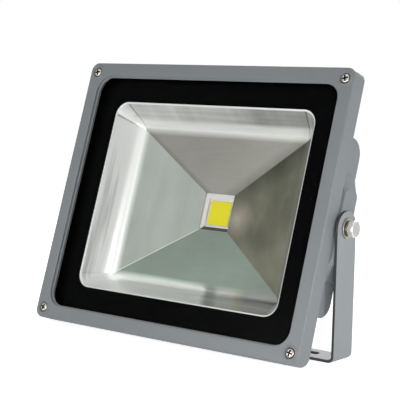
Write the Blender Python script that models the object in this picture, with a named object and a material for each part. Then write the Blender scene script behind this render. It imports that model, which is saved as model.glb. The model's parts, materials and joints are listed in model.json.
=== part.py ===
"""LED floodlight in a tilting bracket, with each physical piece as its own object.

Sizes are written in millimetres, and MM turns them into metres when a mesh is made.
World axes: the origin is the middle of the bracket's base plate, on its underside. +Z is up and the lamp faces -Y.
Lamp axes: x to the right, y backwards from the front face, z up, from the middle of the front face.
The lamp's pieces are drawn in lamp axes and carried by the empty on the tilt axis.
"""
import math

import bmesh
import bpy
from mathutils import Matrix, Vector

MM = 0.001
CLEARANCE = 0.3
TOOL_REACH = 10.0

# Front frame
FRAME_WIDTH = 287.0
FRAME_HEIGHT = 243.0
FRAME_DEPTH = 16.8
FRAME_CORNER = 8.0
FRAME_EDGE = 1.4
FRAME_BACK_EDGE = 0.8
SKIRT_WALL = 2.6
BORDER = 12.4
OPENING_CORNER = 15.0
OPENING_EDGE = 0.9
OPENING_WALL = 2.2
LIP_DEPTH = 4.0
LIP_LAND = 0.5
LIP_REACH = 1.0
RIB_WALL = 1.8
COLLAR_RADIUS = 6.1
COLLAR_HEIGHT = 0.8
COLLAR_EDGE = 0.5
WELL_RADIUS = 4.7
WELL_DEPTH = 1.5
POST_RADIUS = 5.0

# Frame screws, M4 pan head
SCREW_INSET_X = 8.7
SCREW_INSET_Z = 9.3
SCREW_RADIUS = 2.0
SCREW_HEAD_RADIUS = 4.0
SCREW_HEAD_HEIGHT = 2.5
SCREW_GRIP = 16.8

# Glass and its seal
GLASS_THICKNESS = 4.0
GLASS_COVER = 3.1
GLASS_EDGE = 0.4
SEAL_FRONT_LEG = 0.6
SEAL_WEB = 1.2
SEAL_BACK_LEG = 1.9
SEAL_FRONT_REACH = 2.5
SEAL_BACK_REACH = 7.7

# Reflector
WINDOW_BORDER = 34.3
WINDOW_CORNER = 13.0
PRINT_SPACE = 0.4
SHEET = 0.8
REFLECTOR_FLANGE = 10.0
BEAD_WIDTH = 1.2
BEAD_DEPTH = 0.5
WALL_WIDTH = 11.0
WALL_FALL = 17.2
PANEL_INSET = 20.0
PANEL_FALL = 25.1
BEND_STEPS = 4
CREASE_CORNER = 0.8
NECK_WIDTH = 31.7
NECK_HEIGHT = 33.5
NECK_CORNER = 1.2
NECK_DEPTH = 48.0

# Emitter
EMITTER_WIDTH = 24.4
EMITTER_HEIGHT = 23.4
EMITTER_THICKNESS = 0.7
EMITTER_BASE_WIDTH = 52.0
EMITTER_BASE_HEIGHT = 40.0
EMITTER_BASE_THICKNESS = 1.8
EMITTER_FRAME_HEIGHT = 3.6
EMITTER_FRAME_WALL = 2.4
EMITTER_BOLT_X = 22.3
EMITTER_BOLT_Z = 16.0
EMITTER_DROP = 2.9

# Rear housing
FLANGE_GAP = 0.5
FLANGE_THICKNESS = 4.6
FLANGE_CORNER = 6.0
LAND_WIDTH = 9.0
BODY_WALL = 5.0
BODY_SKIRT = 14.3
PLATE_THICKNESS = 5.0
PLATE_HALF_WIDTH = 63.5
PLATE_HALF_HEIGHT = 57.5
CAVITY_MARGIN = 2.3
BOSS_RADIUS = 5.5
BOSS_DEPTH = 19.0
SIDE_INSET = 5.0
SIDE_WALL = 5.0
SIDE_SHORTFALL = 47.0
SIDE_DEPTH = 40.0
SIDE_CORNER = 14.0
FIN_PITCH = 13.6
FIN_LAST_GAP = 6.0
FIN_ROOT = 3.0
FIN_DRAFT = 0.008
FIN_RISE_DEPTH = 38.0
FIN_RISE_HEIGHT = 11.0
FIN_RISE_CORNER = 14.0

# Driver chamber on the housing's back
CHAMBER_HALF_WIDTH = 58.0
CHAMBER_HALF_HEIGHT = 43.0
CHAMBER_WALL = 3.5
CHAMBER_CORNER = 6.0
CHAMBER_DEPTH = 92.0
CHAMBER_POST_RADIUS = 5.0
CHAMBER_POST_INSET = 7.0
GASKET_THICKNESS = 1.2
GASKET_WIDTH = 2.6
COVER_THICKNESS = 3.2
COVER_EDGE = 1.2
COVER_PANEL_INSET = 10.5
COVER_PANEL_RISE = 1.2
SMALL_SCREW_RADIUS = 1.5
SMALL_SCREW_HEAD_RADIUS = 2.8
SMALL_SCREW_HEAD_HEIGHT = 1.9
SMALL_SCREW_HOLE = 1.8
COVER_SCREW_GRIP = 12.0

# Driver and leads
DRIVER_WIDTH = 82.0
DRIVER_HEIGHT = 44.0
DRIVER_DEPTH = 26.0
DRIVER_RISE = -4.0
DRIVER_EAR_WIDTH = 100.0
DRIVER_EAR_HEIGHT = 16.0
DRIVER_EAR_THICKNESS = 1.5
DRIVER_SCREW_X = 46.5
DRIVER_SCREW_GRIP = 2.8
LEAD_RADIUS = 0.9
LEAD_HOLE_RADIUS = 4.0
LEAD_HOLE_Z = 30.5

# Cable inlet under the chamber
GLAND_DEPTH = 76.0
GLAND_STUB_RADIUS = 7.6
GLAND_STUB_LENGTH = 9.5
GLAND_FLATS = 20.0
GLAND_FLANGE = 4.5
GLAND_NOSE_RADIUS = 8.4
GLAND_NOSE_LENGTH = 8.0
GLAND_WASHER = 1.2
GLAND_BORE = 5.0
GLAND_SEAL_RADIUS = 6.8
GLAND_SEAL_BORE = 4.2
GLAND_SEAL_STEP = 1.0
GLAND_SEAL_PROUD = 0.6
GLAND_NUT_LENGTH = 12.0
GLAND_NUT_GRIP = 7.0
GLAND_NUT_DOME = 4.6
GLAND_NUT_BORE = 5.2
GLAND_LOCKNUT_THICKNESS = 3.6
FIN_NOTCH_HALF_WIDTH = 11.8
FIN_NOTCH_MARGIN = 2.4

# Tilt axis and bracket
PIVOT_Y = 26.5
PIVOT_Z = -5.0
PIVOT_HEIGHT = 108.2
TILT = 17.6
YOKE_GAP = 2.0
YOKE_SHEET = 2.5
YOKE_BAND = 28.0
YOKE_BEND = 5.5
SLOT_INSET = 38.0
SLOT_LENGTH = 30.0
SLOT_WIDTH = 10.0
PIVOT_BLOCK_WIDTH = 18.4
PIVOT_BLOCK_HEIGHT = 64.0
PIVOT_BLOCK_ROOT = 90.0
PIVOT_BARREL_RADIUS = 11.0
PIVOT_BARREL_LENGTH = 24.5
BOLT_RADIUS = 4.0
BOLT_FLATS = 13.0
BOLT_HEAD = 4.7
BOLT_REACH = 27.0
BOLT_HOLE = 4.4
FLAT_WASHER_RADIUS = 8.5
FLAT_WASHER = 1.3
SPRING_WASHER_RADIUS = 7.2
SPRING_WASHER = 1.6
SPRING_WASHER_SPLIT = 16.0

# Facets
CORNER_STEPS = 5
ROUND_STEPS = 20
SMALL_STEPS = 12

# Places that follow from the sizes
GLASS_INSET = BORDER - GLASS_COVER
GLASS_CORNER = OPENING_CORNER + GLASS_COVER
GLASS_FRONT = LIP_DEPTH + SEAL_FRONT_LEG + 2 * CLEARANCE
GLASS_BACK = GLASS_FRONT + GLASS_THICKNESS
POCKET_INSET = GLASS_INSET - SEAL_WEB - 2 * CLEARANCE
HOUSING_FRONT = GLASS_BACK + SEAL_BACK_LEG + 2 * CLEARANCE
FLANGE_BACK = HOUSING_FRONT + FLANGE_THICKNESS
REFLECTOR_FRONT = GLASS_BACK + PRINT_SPACE
LAND_FRONT = REFLECTOR_FRONT + SHEET + CLEARANCE
EMITTER_FRAME_FRONT = NECK_DEPTH + SHEET + CLEARANCE
EMITTER_FACE = EMITTER_FRAME_FRONT + EMITTER_DROP
EMITTER_BASE_FRONT = EMITTER_FRAME_FRONT + EMITTER_FRAME_HEIGHT + CLEARANCE
PLATE_FRONT = EMITTER_BASE_FRONT + EMITTER_BASE_THICKNESS + CLEARANCE
PLATE_BACK = PLATE_FRONT + PLATE_THICKNESS
FLOOR_CUT = 0.2
CHAMBER_FLOOR = PLATE_BACK - FLOOR_CUT
CHAMBER_Z = PIVOT_Z
GASKET_FRONT = CHAMBER_DEPTH + CLEARANCE
COVER_FRONT = GASKET_FRONT + GASKET_THICKNESS + CLEARANCE
COVER_BACK = COVER_FRONT + COVER_THICKNESS
WINDOW_WIDTH = FRAME_WIDTH - 2 * WINDOW_BORDER
WINDOW_HEIGHT = FRAME_HEIGHT - 2 * WINDOW_BORDER
CAVITY_HALF_WIDTH = WINDOW_WIDTH / 2 + CAVITY_MARGIN
CAVITY_HALF_HEIGHT = WINDOW_HEIGHT / 2 + CAVITY_MARGIN
BODY_HALF_WIDTH = CAVITY_HALF_WIDTH + BODY_WALL
BODY_HALF_HEIGHT = CAVITY_HALF_HEIGHT + BODY_WALL
SCREW_X = FRAME_WIDTH / 2 - SCREW_INSET_X
SCREW_Z = FRAME_HEIGHT / 2 - SCREW_INSET_Z
SIDE_HALF_WIDTH = FRAME_WIDTH / 2 - SIDE_INSET
SIDE_HALF_HEIGHT = FRAME_HEIGHT / 2 - SIDE_SHORTFALL
FIN_COUNT_PER_SIDE = int((SIDE_HALF_WIDTH - SIDE_WALL - FIN_LAST_GAP) / FIN_PITCH)
YOKE_INSIDE = FRAME_WIDTH / 2 + YOKE_GAP
YOKE_HALF_WIDTH = YOKE_INSIDE + YOKE_SHEET
SLOT_CENTRE = YOKE_HALF_WIDTH - SLOT_INSET
PIVOT_BARREL_END = SIDE_HALF_WIDTH - PIVOT_BARREL_LENGTH
BOLT_END = YOKE_HALF_WIDTH - BOLT_REACH
DRIVER_Z = CHAMBER_Z + DRIVER_RISE
DRIVER_FRONT = CHAMBER_FLOOR + CLEARANCE

FORWARD = Matrix.Rotation(math.radians(90.0), 4, "X")
BACKWARD = Matrix.Rotation(math.radians(-90.0), 4, "X")
DOWNWARD = Matrix.Rotation(math.radians(180.0), 4, "X")
UPWARD = Matrix.Identity(4)


def sideways(side):
    """Turn that lays a part's own axis along +x or -x."""
    return Matrix.Rotation(math.radians(90.0 * side), 4, "Y")


# Finishes
def finish(name, colour, roughness, metallic=0.0, alpha=1.0):
    """Material of one finish, made once."""
    found = bpy.data.materials.get(name)
    if found:
        return found
    material = bpy.data.materials.new(name)
    material.use_nodes = True
    shader = material.node_tree.nodes["Principled BSDF"]
    shader.inputs["Base Color"].default_value = (*colour, 1.0)
    shader.inputs["Roughness"].default_value = roughness
    shader.inputs["Metallic"].default_value = metallic
    shader.inputs["Alpha"].default_value = alpha
    return material


def grey_coat():
    return finish("grey_powder_coat", (0.26, 0.27, 0.28), 0.5)


def plated_steel():
    return finish("plated_steel", (0.62, 0.62, 0.58), 0.3, 1.0)


def silicone():
    return finish("silicone", (0.55, 0.55, 0.53), 0.7)


def black_polymer():
    return finish("black_polymer", (0.02, 0.02, 0.022), 0.5)


# Drawing tools
def make_object(name, mesh_builder, material, place=None):
    """Object from a bmesh in millimetres, moved to its place and turned to metres."""
    if place:
        bmesh.ops.transform(mesh_builder, matrix=place, verts=mesh_builder.verts)
    bmesh.ops.scale(mesh_builder, vec=Vector((MM, MM, MM)), verts=mesh_builder.verts)
    bmesh.ops.recalc_face_normals(mesh_builder, faces=mesh_builder.faces)
    mesh = bpy.data.meshes.new(name)
    mesh_builder.to_mesh(mesh)
    mesh_builder.free()
    mesh.shade_smooth()
    mesh.set_sharp_from_angle(angle=math.radians(35.0))
    mesh.materials.append(material)
    thing = bpy.data.objects.new(name, mesh)
    bpy.context.scene.collection.objects.link(thing)
    return thing


def combine(target, tool, operation):
    """Join or cut target with tool, keep the result as target's mesh and remove tool."""
    modifier = target.modifiers.new(operation.title(), "BOOLEAN")
    modifier.operation = operation
    modifier.solver = "EXACT"
    modifier.object = tool
    graph = bpy.context.evaluated_depsgraph_get()
    result = bpy.data.meshes.new_from_object(target.evaluated_get(graph))
    target.modifiers.clear()
    material = target.data.materials[0]
    target.data = result
    target.data.materials.clear()
    target.data.materials.append(material)
    target.data.shade_smooth()
    target.data.set_sharp_from_angle(angle=math.radians(35.0))
    bpy.data.objects.remove(tool)


def corner_loop(half_width, half_height, radius, steps=CORNER_STEPS):
    """Points of a rectangle with round corners, from the middle of its +x side anticlockwise."""
    points = []
    for quarter, (side_x, side_z) in enumerate(((1, 1), (-1, 1), (-1, -1), (1, -1))):
        for step in range(steps + 1):
            angle = math.radians(90.0 * (quarter + step / steps))
            points.append((side_x * (half_width - radius) + radius * math.cos(angle),
                           side_z * (half_height - radius) + radius * math.sin(angle)))
    return points


def lay_in_lamp(across, up, depth):
    """Loft section on the lamp's front plane."""
    return Vector((across, depth, up))


def lay_on_side(across, up, depth):
    """Loft section on the lamp's side plane."""
    return Vector((depth, across, up))


def loft(mesh_builder, stations, ring=False, lay=lay_in_lamp, steps=CORNER_STEPS, centre=(0.0, 0.0)):
    """Skin through rounded rectangles (half width, half height, corner, depth): a ring, or a solid with ends."""
    loops = []
    for half_width, half_height, radius, depth in stations:
        loop = []
        for across, up in corner_loop(half_width, half_height, radius, steps):
            loop.append(mesh_builder.verts.new(lay(across + centre[0], up + centre[1], depth)))
        loops.append(loop)
    pairs = list(zip(loops, loops[1:]))
    if ring:
        pairs.append((loops[-1], loops[0]))
    else:
        mesh_builder.faces.new(loops[0])
        mesh_builder.faces.new(loops[-1])
    for first, second in pairs:
        count = len(first)
        for index in range(count):
            following = (index + 1) % count
            mesh_builder.faces.new((first[index], first[following], second[following], second[index]))


def turned(mesh_builder, profile, steps=ROUND_STEPS, ring=False, place=UPWARD, phase=0.0):
    """Profile of (radius, height) points turned about the part's own +z; a solid's ends lie on the axis."""
    made = []
    columns = []
    for step in range(steps):
        angle = 2.0 * math.pi * (step + phase) / steps
        column = []
        for radius, height in profile:
            if radius == 0.0 and columns:
                column.append(columns[0][len(column)])
                continue
            point = place @ Vector((radius * math.cos(angle), radius * math.sin(angle), height))
            column.append(mesh_builder.verts.new(point))
            made.append(column[-1])
        columns.append(column)
    last = len(profile) if ring else len(profile) - 1
    for step in range(steps):
        here = columns[step]
        there = columns[(step + 1) % steps]
        for index in range(last):
            following = (index + 1) % len(profile)
            corners = [here[index], there[index], there[following], here[following]]
            unique = [corner for at, corner in enumerate(corners) if corner not in corners[:at]]
            mesh_builder.faces.new(unique)
    return made


def cylinder(mesh_builder, radius, start, end, place, steps=ROUND_STEPS):
    """Plain round bar along the place's own axis."""
    turned(mesh_builder, [(0.0, start), (radius, start), (radius, end), (0.0, end)], steps, place=place)


def at(x, y, z, turn=UPWARD):
    """Place with its origin at a point and its axis turned."""
    return Matrix.Translation((x, y, z)) @ turn


def frame_station(inset, radius, depth):
    """Rounded rectangle that lies a given distance inside the frame's outline."""
    return (FRAME_WIDTH / 2 - inset, FRAME_HEIGHT / 2 - inset, radius, depth)


def round_over(radius, steps=3):
    """Shares of a quarter circle's run and fall, start to end."""
    shares = []
    for step in range(steps + 1):
        angle = math.radians(90.0 * step / steps)
        shares.append((radius * (1 - math.cos(angle)), radius * (1 - math.sin(angle))))
    return shares


# Front frame, glass and seal
def front_bezel():
    """Die-cast frame: face with a stepped opening, skirt, rib round the glass, screw collars and posts."""
    rib_corner = GLASS_CORNER + GLASS_INSET - POCKET_INSET
    rib_end = HOUSING_FRONT - CLEARANCE
    stations = [frame_station(0.0, FRAME_CORNER, FRAME_DEPTH - FRAME_BACK_EDGE)]
    for inset, depth in round_over(FRAME_EDGE):
        stations.append(frame_station(inset, FRAME_CORNER - inset, depth))
    for fall, run in reversed(round_over(OPENING_EDGE)):
        inset = BORDER - run
        stations.append(frame_station(inset, OPENING_CORNER + run, OPENING_EDGE - (OPENING_EDGE - fall)))
    stations += [
        frame_station(BORDER + 0.1, OPENING_CORNER - 0.1, OPENING_WALL),
        frame_station(BORDER + LIP_REACH, OPENING_CORNER - LIP_REACH, LIP_DEPTH - LIP_LAND),
        frame_station(BORDER + LIP_REACH, OPENING_CORNER - LIP_REACH, LIP_DEPTH),
        frame_station(POCKET_INSET, rib_corner, LIP_DEPTH),
        frame_station(POCKET_INSET, rib_corner, rib_end),
        frame_station(POCKET_INSET - RIB_WALL, rib_corner + RIB_WALL, rib_end),
        frame_station(POCKET_INSET - RIB_WALL, rib_corner + RIB_WALL, LIP_DEPTH),
        frame_station(SKIRT_WALL, FRAME_CORNER - SKIRT_WALL, LIP_DEPTH),
        frame_station(SKIRT_WALL, FRAME_CORNER - SKIRT_WALL, FRAME_DEPTH),
        frame_station(FRAME_BACK_EDGE, FRAME_CORNER - FRAME_BACK_EDGE, FRAME_DEPTH),
    ]
    builder = bmesh.new()
    loft(builder, stations, ring=True)
    bezel = make_object("front_bezel", builder, grey_coat())
    posts = bmesh.new()
    collars = bmesh.new()
    cuts = bmesh.new()
    wells = bmesh.new()
    collar = [
        (0.0, -COLLAR_HEIGHT), (COLLAR_RADIUS - COLLAR_EDGE, -COLLAR_HEIGHT),
        (COLLAR_RADIUS - COLLAR_EDGE * 0.3, -COLLAR_HEIGHT + COLLAR_EDGE * 0.3),
        (COLLAR_RADIUS, -COLLAR_HEIGHT + COLLAR_EDGE), (COLLAR_RADIUS, WELL_DEPTH), (0.0, WELL_DEPTH),
    ]
    for x, z in screw_places():
        place = at(x, 0.0, z, BACKWARD)
        cylinder(posts, POST_RADIUS, LIP_DEPTH / 2, rib_end, place)
        turned(collars, collar, ROUND_STEPS, place=place)
        cylinder(cuts, SCREW_RADIUS + CLEARANCE, LIP_DEPTH / 4, rib_end + 1.0, place, SMALL_STEPS)
        cylinder(wells, WELL_RADIUS, -COLLAR_HEIGHT - 1.0, WELL_DEPTH, place)
    combine(bezel, make_object("posts", posts, grey_coat()), "UNION")
    combine(bezel, make_object("collars", collars, grey_coat()), "UNION")
    combine(bezel, make_object("wells", wells, grey_coat()), "DIFFERENCE")
    combine(bezel, make_object("cuts", cuts, grey_coat()), "DIFFERENCE")
    return bezel


def screw_places():
    """Centres of the frame screws, corner by corner."""
    return [(side_x * SCREW_X, side_z * SCREW_Z) for side_x in (-1, 1) for side_z in (1, -1)]


def pan_screw(name, radius, head_radius, head_height, grip, place):
    """Pan head screw whose seat is at height 0 and whose shank runs down."""
    builder = bmesh.new()
    profile = [(0.0, -grip), (radius, -grip), (radius, 0.0), (head_radius, 0.0)]
    profile += [(head_radius, head_height * 0.45), (head_radius * 0.86, head_height * 0.8)]
    profile += [(head_radius * 0.55, head_height), (0.0, head_height)]
    turned(builder, profile, SMALL_STEPS)
    return make_object(name, builder, plated_steel(), place)


def bezel_screws():
    """Four screws whose heads seat in the frame's wells."""
    screws = []
    for index, (x, z) in enumerate(screw_places(), start=1):
        place = at(x, WELL_DEPTH - CLEARANCE, z, FORWARD)
        screws.append(pan_screw(f"bezel_screw_{index}", SCREW_RADIUS, SCREW_HEAD_RADIUS, SCREW_HEAD_HEIGHT,
                                SCREW_GRIP - WELL_DEPTH, place))
    return screws


def glass():
    """Toughened pane with ground edges."""
    inset = GLASS_INSET + GLASS_EDGE
    corner = GLASS_CORNER - GLASS_EDGE
    builder = bmesh.new()
    loft(builder, [
        frame_station(inset, corner, GLASS_FRONT),
        frame_station(GLASS_INSET, GLASS_CORNER, GLASS_FRONT + GLASS_EDGE),
        frame_station(GLASS_INSET, GLASS_CORNER, GLASS_BACK - GLASS_EDGE),
        frame_station(inset, corner, GLASS_BACK),
    ])
    return make_object("glass", builder, finish("glass", (0.9, 0.94, 0.93), 0.03, alpha=0.3))


def glass_seal():
    """Silicone channel round the pane, with a long leg on the housing's side."""
    outside = GLASS_INSET - CLEARANCE - SEAL_WEB
    inside = GLASS_INSET - CLEARANCE
    front = GLASS_FRONT - CLEARANCE
    back = GLASS_BACK + CLEARANCE
    section = [
        (outside, front - SEAL_FRONT_LEG), (inside + SEAL_FRONT_REACH, front - SEAL_FRONT_LEG),
        (inside + SEAL_FRONT_REACH, front), (inside, front), (inside, back),
        (inside + SEAL_BACK_REACH, back), (inside + SEAL_BACK_REACH, back + SEAL_BACK_LEG),
        (outside, back + SEAL_BACK_LEG),
    ]
    builder = bmesh.new()
    loft(builder, [frame_station(inset, GLASS_CORNER + GLASS_INSET - inset, depth) for inset, depth in section],
         ring=True)
    return make_object("glass_seal", builder, silicone())


# Reflector and emitter
def reflector_profile():
    """Points (inset from the window's edge, fall behind the bead) of the sheet's front, from bead to panel.

    The steep wall turns into the flat panel on a bend that is tangent to both.
    """
    panel_run = WINDOW_WIDTH / 2 - PANEL_INSET - NECK_WIDTH / 2
    panel_slope = (NECK_DEPTH - REFLECTOR_FRONT - PANEL_FALL) / panel_run
    wall_slope = (WALL_FALL - BEAD_DEPTH) / (WALL_WIDTH - BEAD_WIDTH)
    offset = PANEL_FALL - panel_slope * PANEL_INSET
    meet = (offset - BEAD_DEPTH + wall_slope * BEAD_WIDTH) / (wall_slope - panel_slope)
    corner = (meet, offset + panel_slope * meet)
    start = (WALL_WIDTH, WALL_FALL)
    end = (PANEL_INSET, PANEL_FALL)
    points = [(BEAD_WIDTH, BEAD_DEPTH)]
    for step in range(BEND_STEPS + 1):
        t = step / BEND_STEPS
        points.append(tuple((1 - t) ** 2 * a + 2 * t * (1 - t) * b + t * t * c
                            for a, b, c in zip(start, corner, end)))
    return points


def reflector():
    """Pressed sheet: flange, bead, steep wall, bend, four flat panels and the neck, with the same skin behind."""
    def window(inset, fall, corner):
        return (WINDOW_WIDTH / 2 - inset, WINDOW_HEIGHT / 2 - inset, corner, REFLECTOR_FRONT + fall)

    def crease(inset):
        return max(CREASE_CORNER, WINDOW_CORNER * (1 - inset / PANEL_INSET))

    profile = reflector_profile()
    flange = (WINDOW_WIDTH / 2 + REFLECTOR_FLANGE, WINDOW_HEIGHT / 2 + REFLECTOR_FLANGE,
              WINDOW_CORNER + REFLECTOR_FLANGE * 0.7)
    neck = (NECK_WIDTH / 2, NECK_HEIGHT / 2)
    stations = [(*flange, REFLECTOR_FRONT), window(0.2, 0.0, WINDOW_CORNER)]
    stations += [window(inset, fall, crease(inset)) for inset, fall in profile]
    stations += [
        (*neck, CREASE_CORNER, NECK_DEPTH),
        (neck[0] + SHEET / 2, neck[1] + SHEET / 2, CREASE_CORNER + SHEET / 2, NECK_DEPTH + SHEET),
    ]
    behind = list(reversed(profile))
    stations.append(window(behind[0][0] - SHEET / 4, behind[0][1] + SHEET, CREASE_CORNER + SHEET / 2))
    for inset, fall in behind[1:]:
        stations.append(window(inset - SHEET * 0.8, fall + SHEET * 0.7, crease(inset) + SHEET / 2))
    stations += [window(-SHEET / 2, SHEET, WINDOW_CORNER + SHEET / 2), (*flange, REFLECTOR_FRONT + SHEET)]
    builder = bmesh.new()
    loft(builder, stations, ring=True)
    return make_object("reflector", builder, finish("polished_aluminium", (0.86, 0.87, 0.86), 0.15, 1.0))


def emitter_base():
    """Metal base of the emitter, with four screw holes."""
    builder = bmesh.new()
    back = EMITTER_BASE_FRONT + EMITTER_BASE_THICKNESS
    size = (EMITTER_BASE_WIDTH / 2, EMITTER_BASE_HEIGHT / 2, 2.0)
    loft(builder, [(*size, EMITTER_BASE_FRONT), (*size, back)], steps=3)
    base = make_object("cob_base", builder, finish("emitter_base", (0.72, 0.6, 0.5), 0.35, 1.0))
    holes = bmesh.new()
    for x, z in emitter_bolts():
        cylinder(holes, SMALL_SCREW_HOLE, EMITTER_BASE_FRONT - 1.0, back + 1.0, at(x, 0.0, z, BACKWARD), SMALL_STEPS)
    combine(base, make_object("holes", holes, grey_coat()), "DIFFERENCE")
    return base


def emitter_bolts():
    """Centres of the four screws of the emitter's base."""
    return [(side_x * EMITTER_BOLT_X, side_z * EMITTER_BOLT_Z) for side_x in (-1, 1) for side_z in (-1, 1)]


def emitter_frame():
    """White frame whose sloped walls run from the reflector's neck to the yellow square."""
    inner = (EMITTER_WIDTH / 2 + CLEARANCE, EMITTER_HEIGHT / 2 + CLEARANCE)
    mouth = (NECK_WIDTH / 2 - 0.4, NECK_HEIGHT / 2 - 0.4)
    outer = (NECK_WIDTH / 2 + EMITTER_FRAME_WALL, NECK_HEIGHT / 2 + EMITTER_FRAME_WALL)
    back = EMITTER_FRAME_FRONT + EMITTER_FRAME_HEIGHT
    builder = bmesh.new()
    loft(builder, [
        (*outer, 2.0, EMITTER_FRAME_FRONT), (*mouth, 1.5, EMITTER_FRAME_FRONT), (*inner, 1.0, EMITTER_FACE - 0.4),
        (*inner, 1.0, back), (*outer, 2.0, back),
    ], ring=True, steps=3)
    return make_object("cob_frame", builder, finish("white_polymer", (0.88, 0.88, 0.86), 0.4))


def emitter_phosphor():
    """Yellow square that gives the light."""
    size = (EMITTER_WIDTH / 2, EMITTER_HEIGHT / 2, 0.8)
    builder = bmesh.new()
    loft(builder, [(*size, EMITTER_FACE), (*size, EMITTER_FACE + EMITTER_THICKNESS)], steps=3)
    return make_object("cob_phosphor", builder, finish("phosphor", (0.85, 0.75, 0.05), 0.5))


def emitter_screws():
    """Four screws that clamp the emitter's base to the housing."""
    screws = []
    for index, (x, z) in enumerate(emitter_bolts(), start=1):
        place = at(x, EMITTER_BASE_FRONT - CLEARANCE, z, FORWARD)
        grip = EMITTER_BASE_THICKNESS + 2 * CLEARANCE + DRIVER_SCREW_GRIP
        screws.append(pan_screw(f"cob_screw_{index}", SMALL_SCREW_RADIUS, SMALL_SCREW_HEAD_RADIUS,
                                SMALL_SCREW_HEAD_HEIGHT, grip, place))
    return screws


# Rear housing
def fin_share(x):
    """How far the middle's extra size applies at a fin: 0 at the side walls, 1 in the middle."""
    return max(0.0, 1.0 - (x / SIDE_HALF_WIDTH) ** 2)


def fin(mesh_builder, x, near, far, draft):
    """One upright fin with a bowed back edge, between two offsets from x."""
    share = fin_share(x)
    half = SIDE_HALF_HEIGHT + FIN_RISE_HEIGHT * share
    depth = SIDE_DEPTH + FIN_RISE_DEPTH * share
    radius = SIDE_CORNER + FIN_RISE_CORNER * share
    root = HOUSING_FRONT + FLANGE_THICKNESS / 3
    outline = [(-half, root)]
    for step in range(CORNER_STEPS + 1):
        angle = math.radians(90.0 * step / CORNER_STEPS)
        outline.append((-half + radius * (1 - math.cos(angle)), depth - radius * (1 - math.sin(angle))))
    for step in range(CORNER_STEPS, -1, -1):
        angle = math.radians(90.0 * step / CORNER_STEPS)
        outline.append((half - radius * (1 - math.cos(angle)), depth - radius * (1 - math.sin(angle))))
    outline.append((half, root))
    sides = []
    for offset, lean in ((near, draft), (far, -draft)):
        loop = []
        for up, back in outline:
            loop.append(mesh_builder.verts.new((x + offset + lean * (back - root), back, up + PIVOT_Z)))
        sides.append(loop)
        mesh_builder.faces.new(loop)
    count = len(outline)
    for index in range(count):
        following = (index + 1) % count
        mesh_builder.faces.new((sides[0][index], sides[0][following], sides[1][following], sides[1][index]))


def housing_fins():
    """Upright cooling fins between the two thicker side walls."""
    builder = bmesh.new()
    for index in range(-FIN_COUNT_PER_SIDE, FIN_COUNT_PER_SIDE + 1):
        fin(builder, index * FIN_PITCH, -FIN_ROOT / 2, FIN_ROOT / 2, FIN_DRAFT)
    for side in (-1, 1):
        fin(builder, side * SIDE_HALF_WIDTH, 0.0, -side * SIDE_WALL, 0.0)
    return make_object("fins", builder, grey_coat())


def pivot_blocks():
    """Blocks on the side walls that reach to the bracket's arms."""
    builder = bmesh.new()
    face = YOKE_INSIDE - CLEARANCE
    front = FRAME_DEPTH + CLEARANCE
    back = PIVOT_Y + PIVOT_BLOCK_WIDTH / 2
    middle = (front + back) / 2
    for side in (-1, 1):
        root = side * (SIDE_HALF_WIDTH - SIDE_WALL / 2)
        loft(builder, [
            ((back - front) / 2 + 1.6, PIVOT_BLOCK_ROOT / 2, 5.0, root),
            ((back - front) / 2 + 1.6, PIVOT_BLOCK_ROOT / 2, 5.0, side * (SIDE_HALF_WIDTH + 0.6)),
            ((back - front) / 2 + 0.2, PIVOT_BLOCK_HEIGHT / 2, 5.5, side * (face - 0.8)),
            ((back - front) / 2 - 0.6, PIVOT_BLOCK_HEIGHT / 2 - 0.8, 4.7, side * face),
        ], lay=lay_on_side, steps=4, centre=(middle + 1.6, PIVOT_Z))
    return make_object("pivot_blocks", builder, grey_coat())


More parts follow.
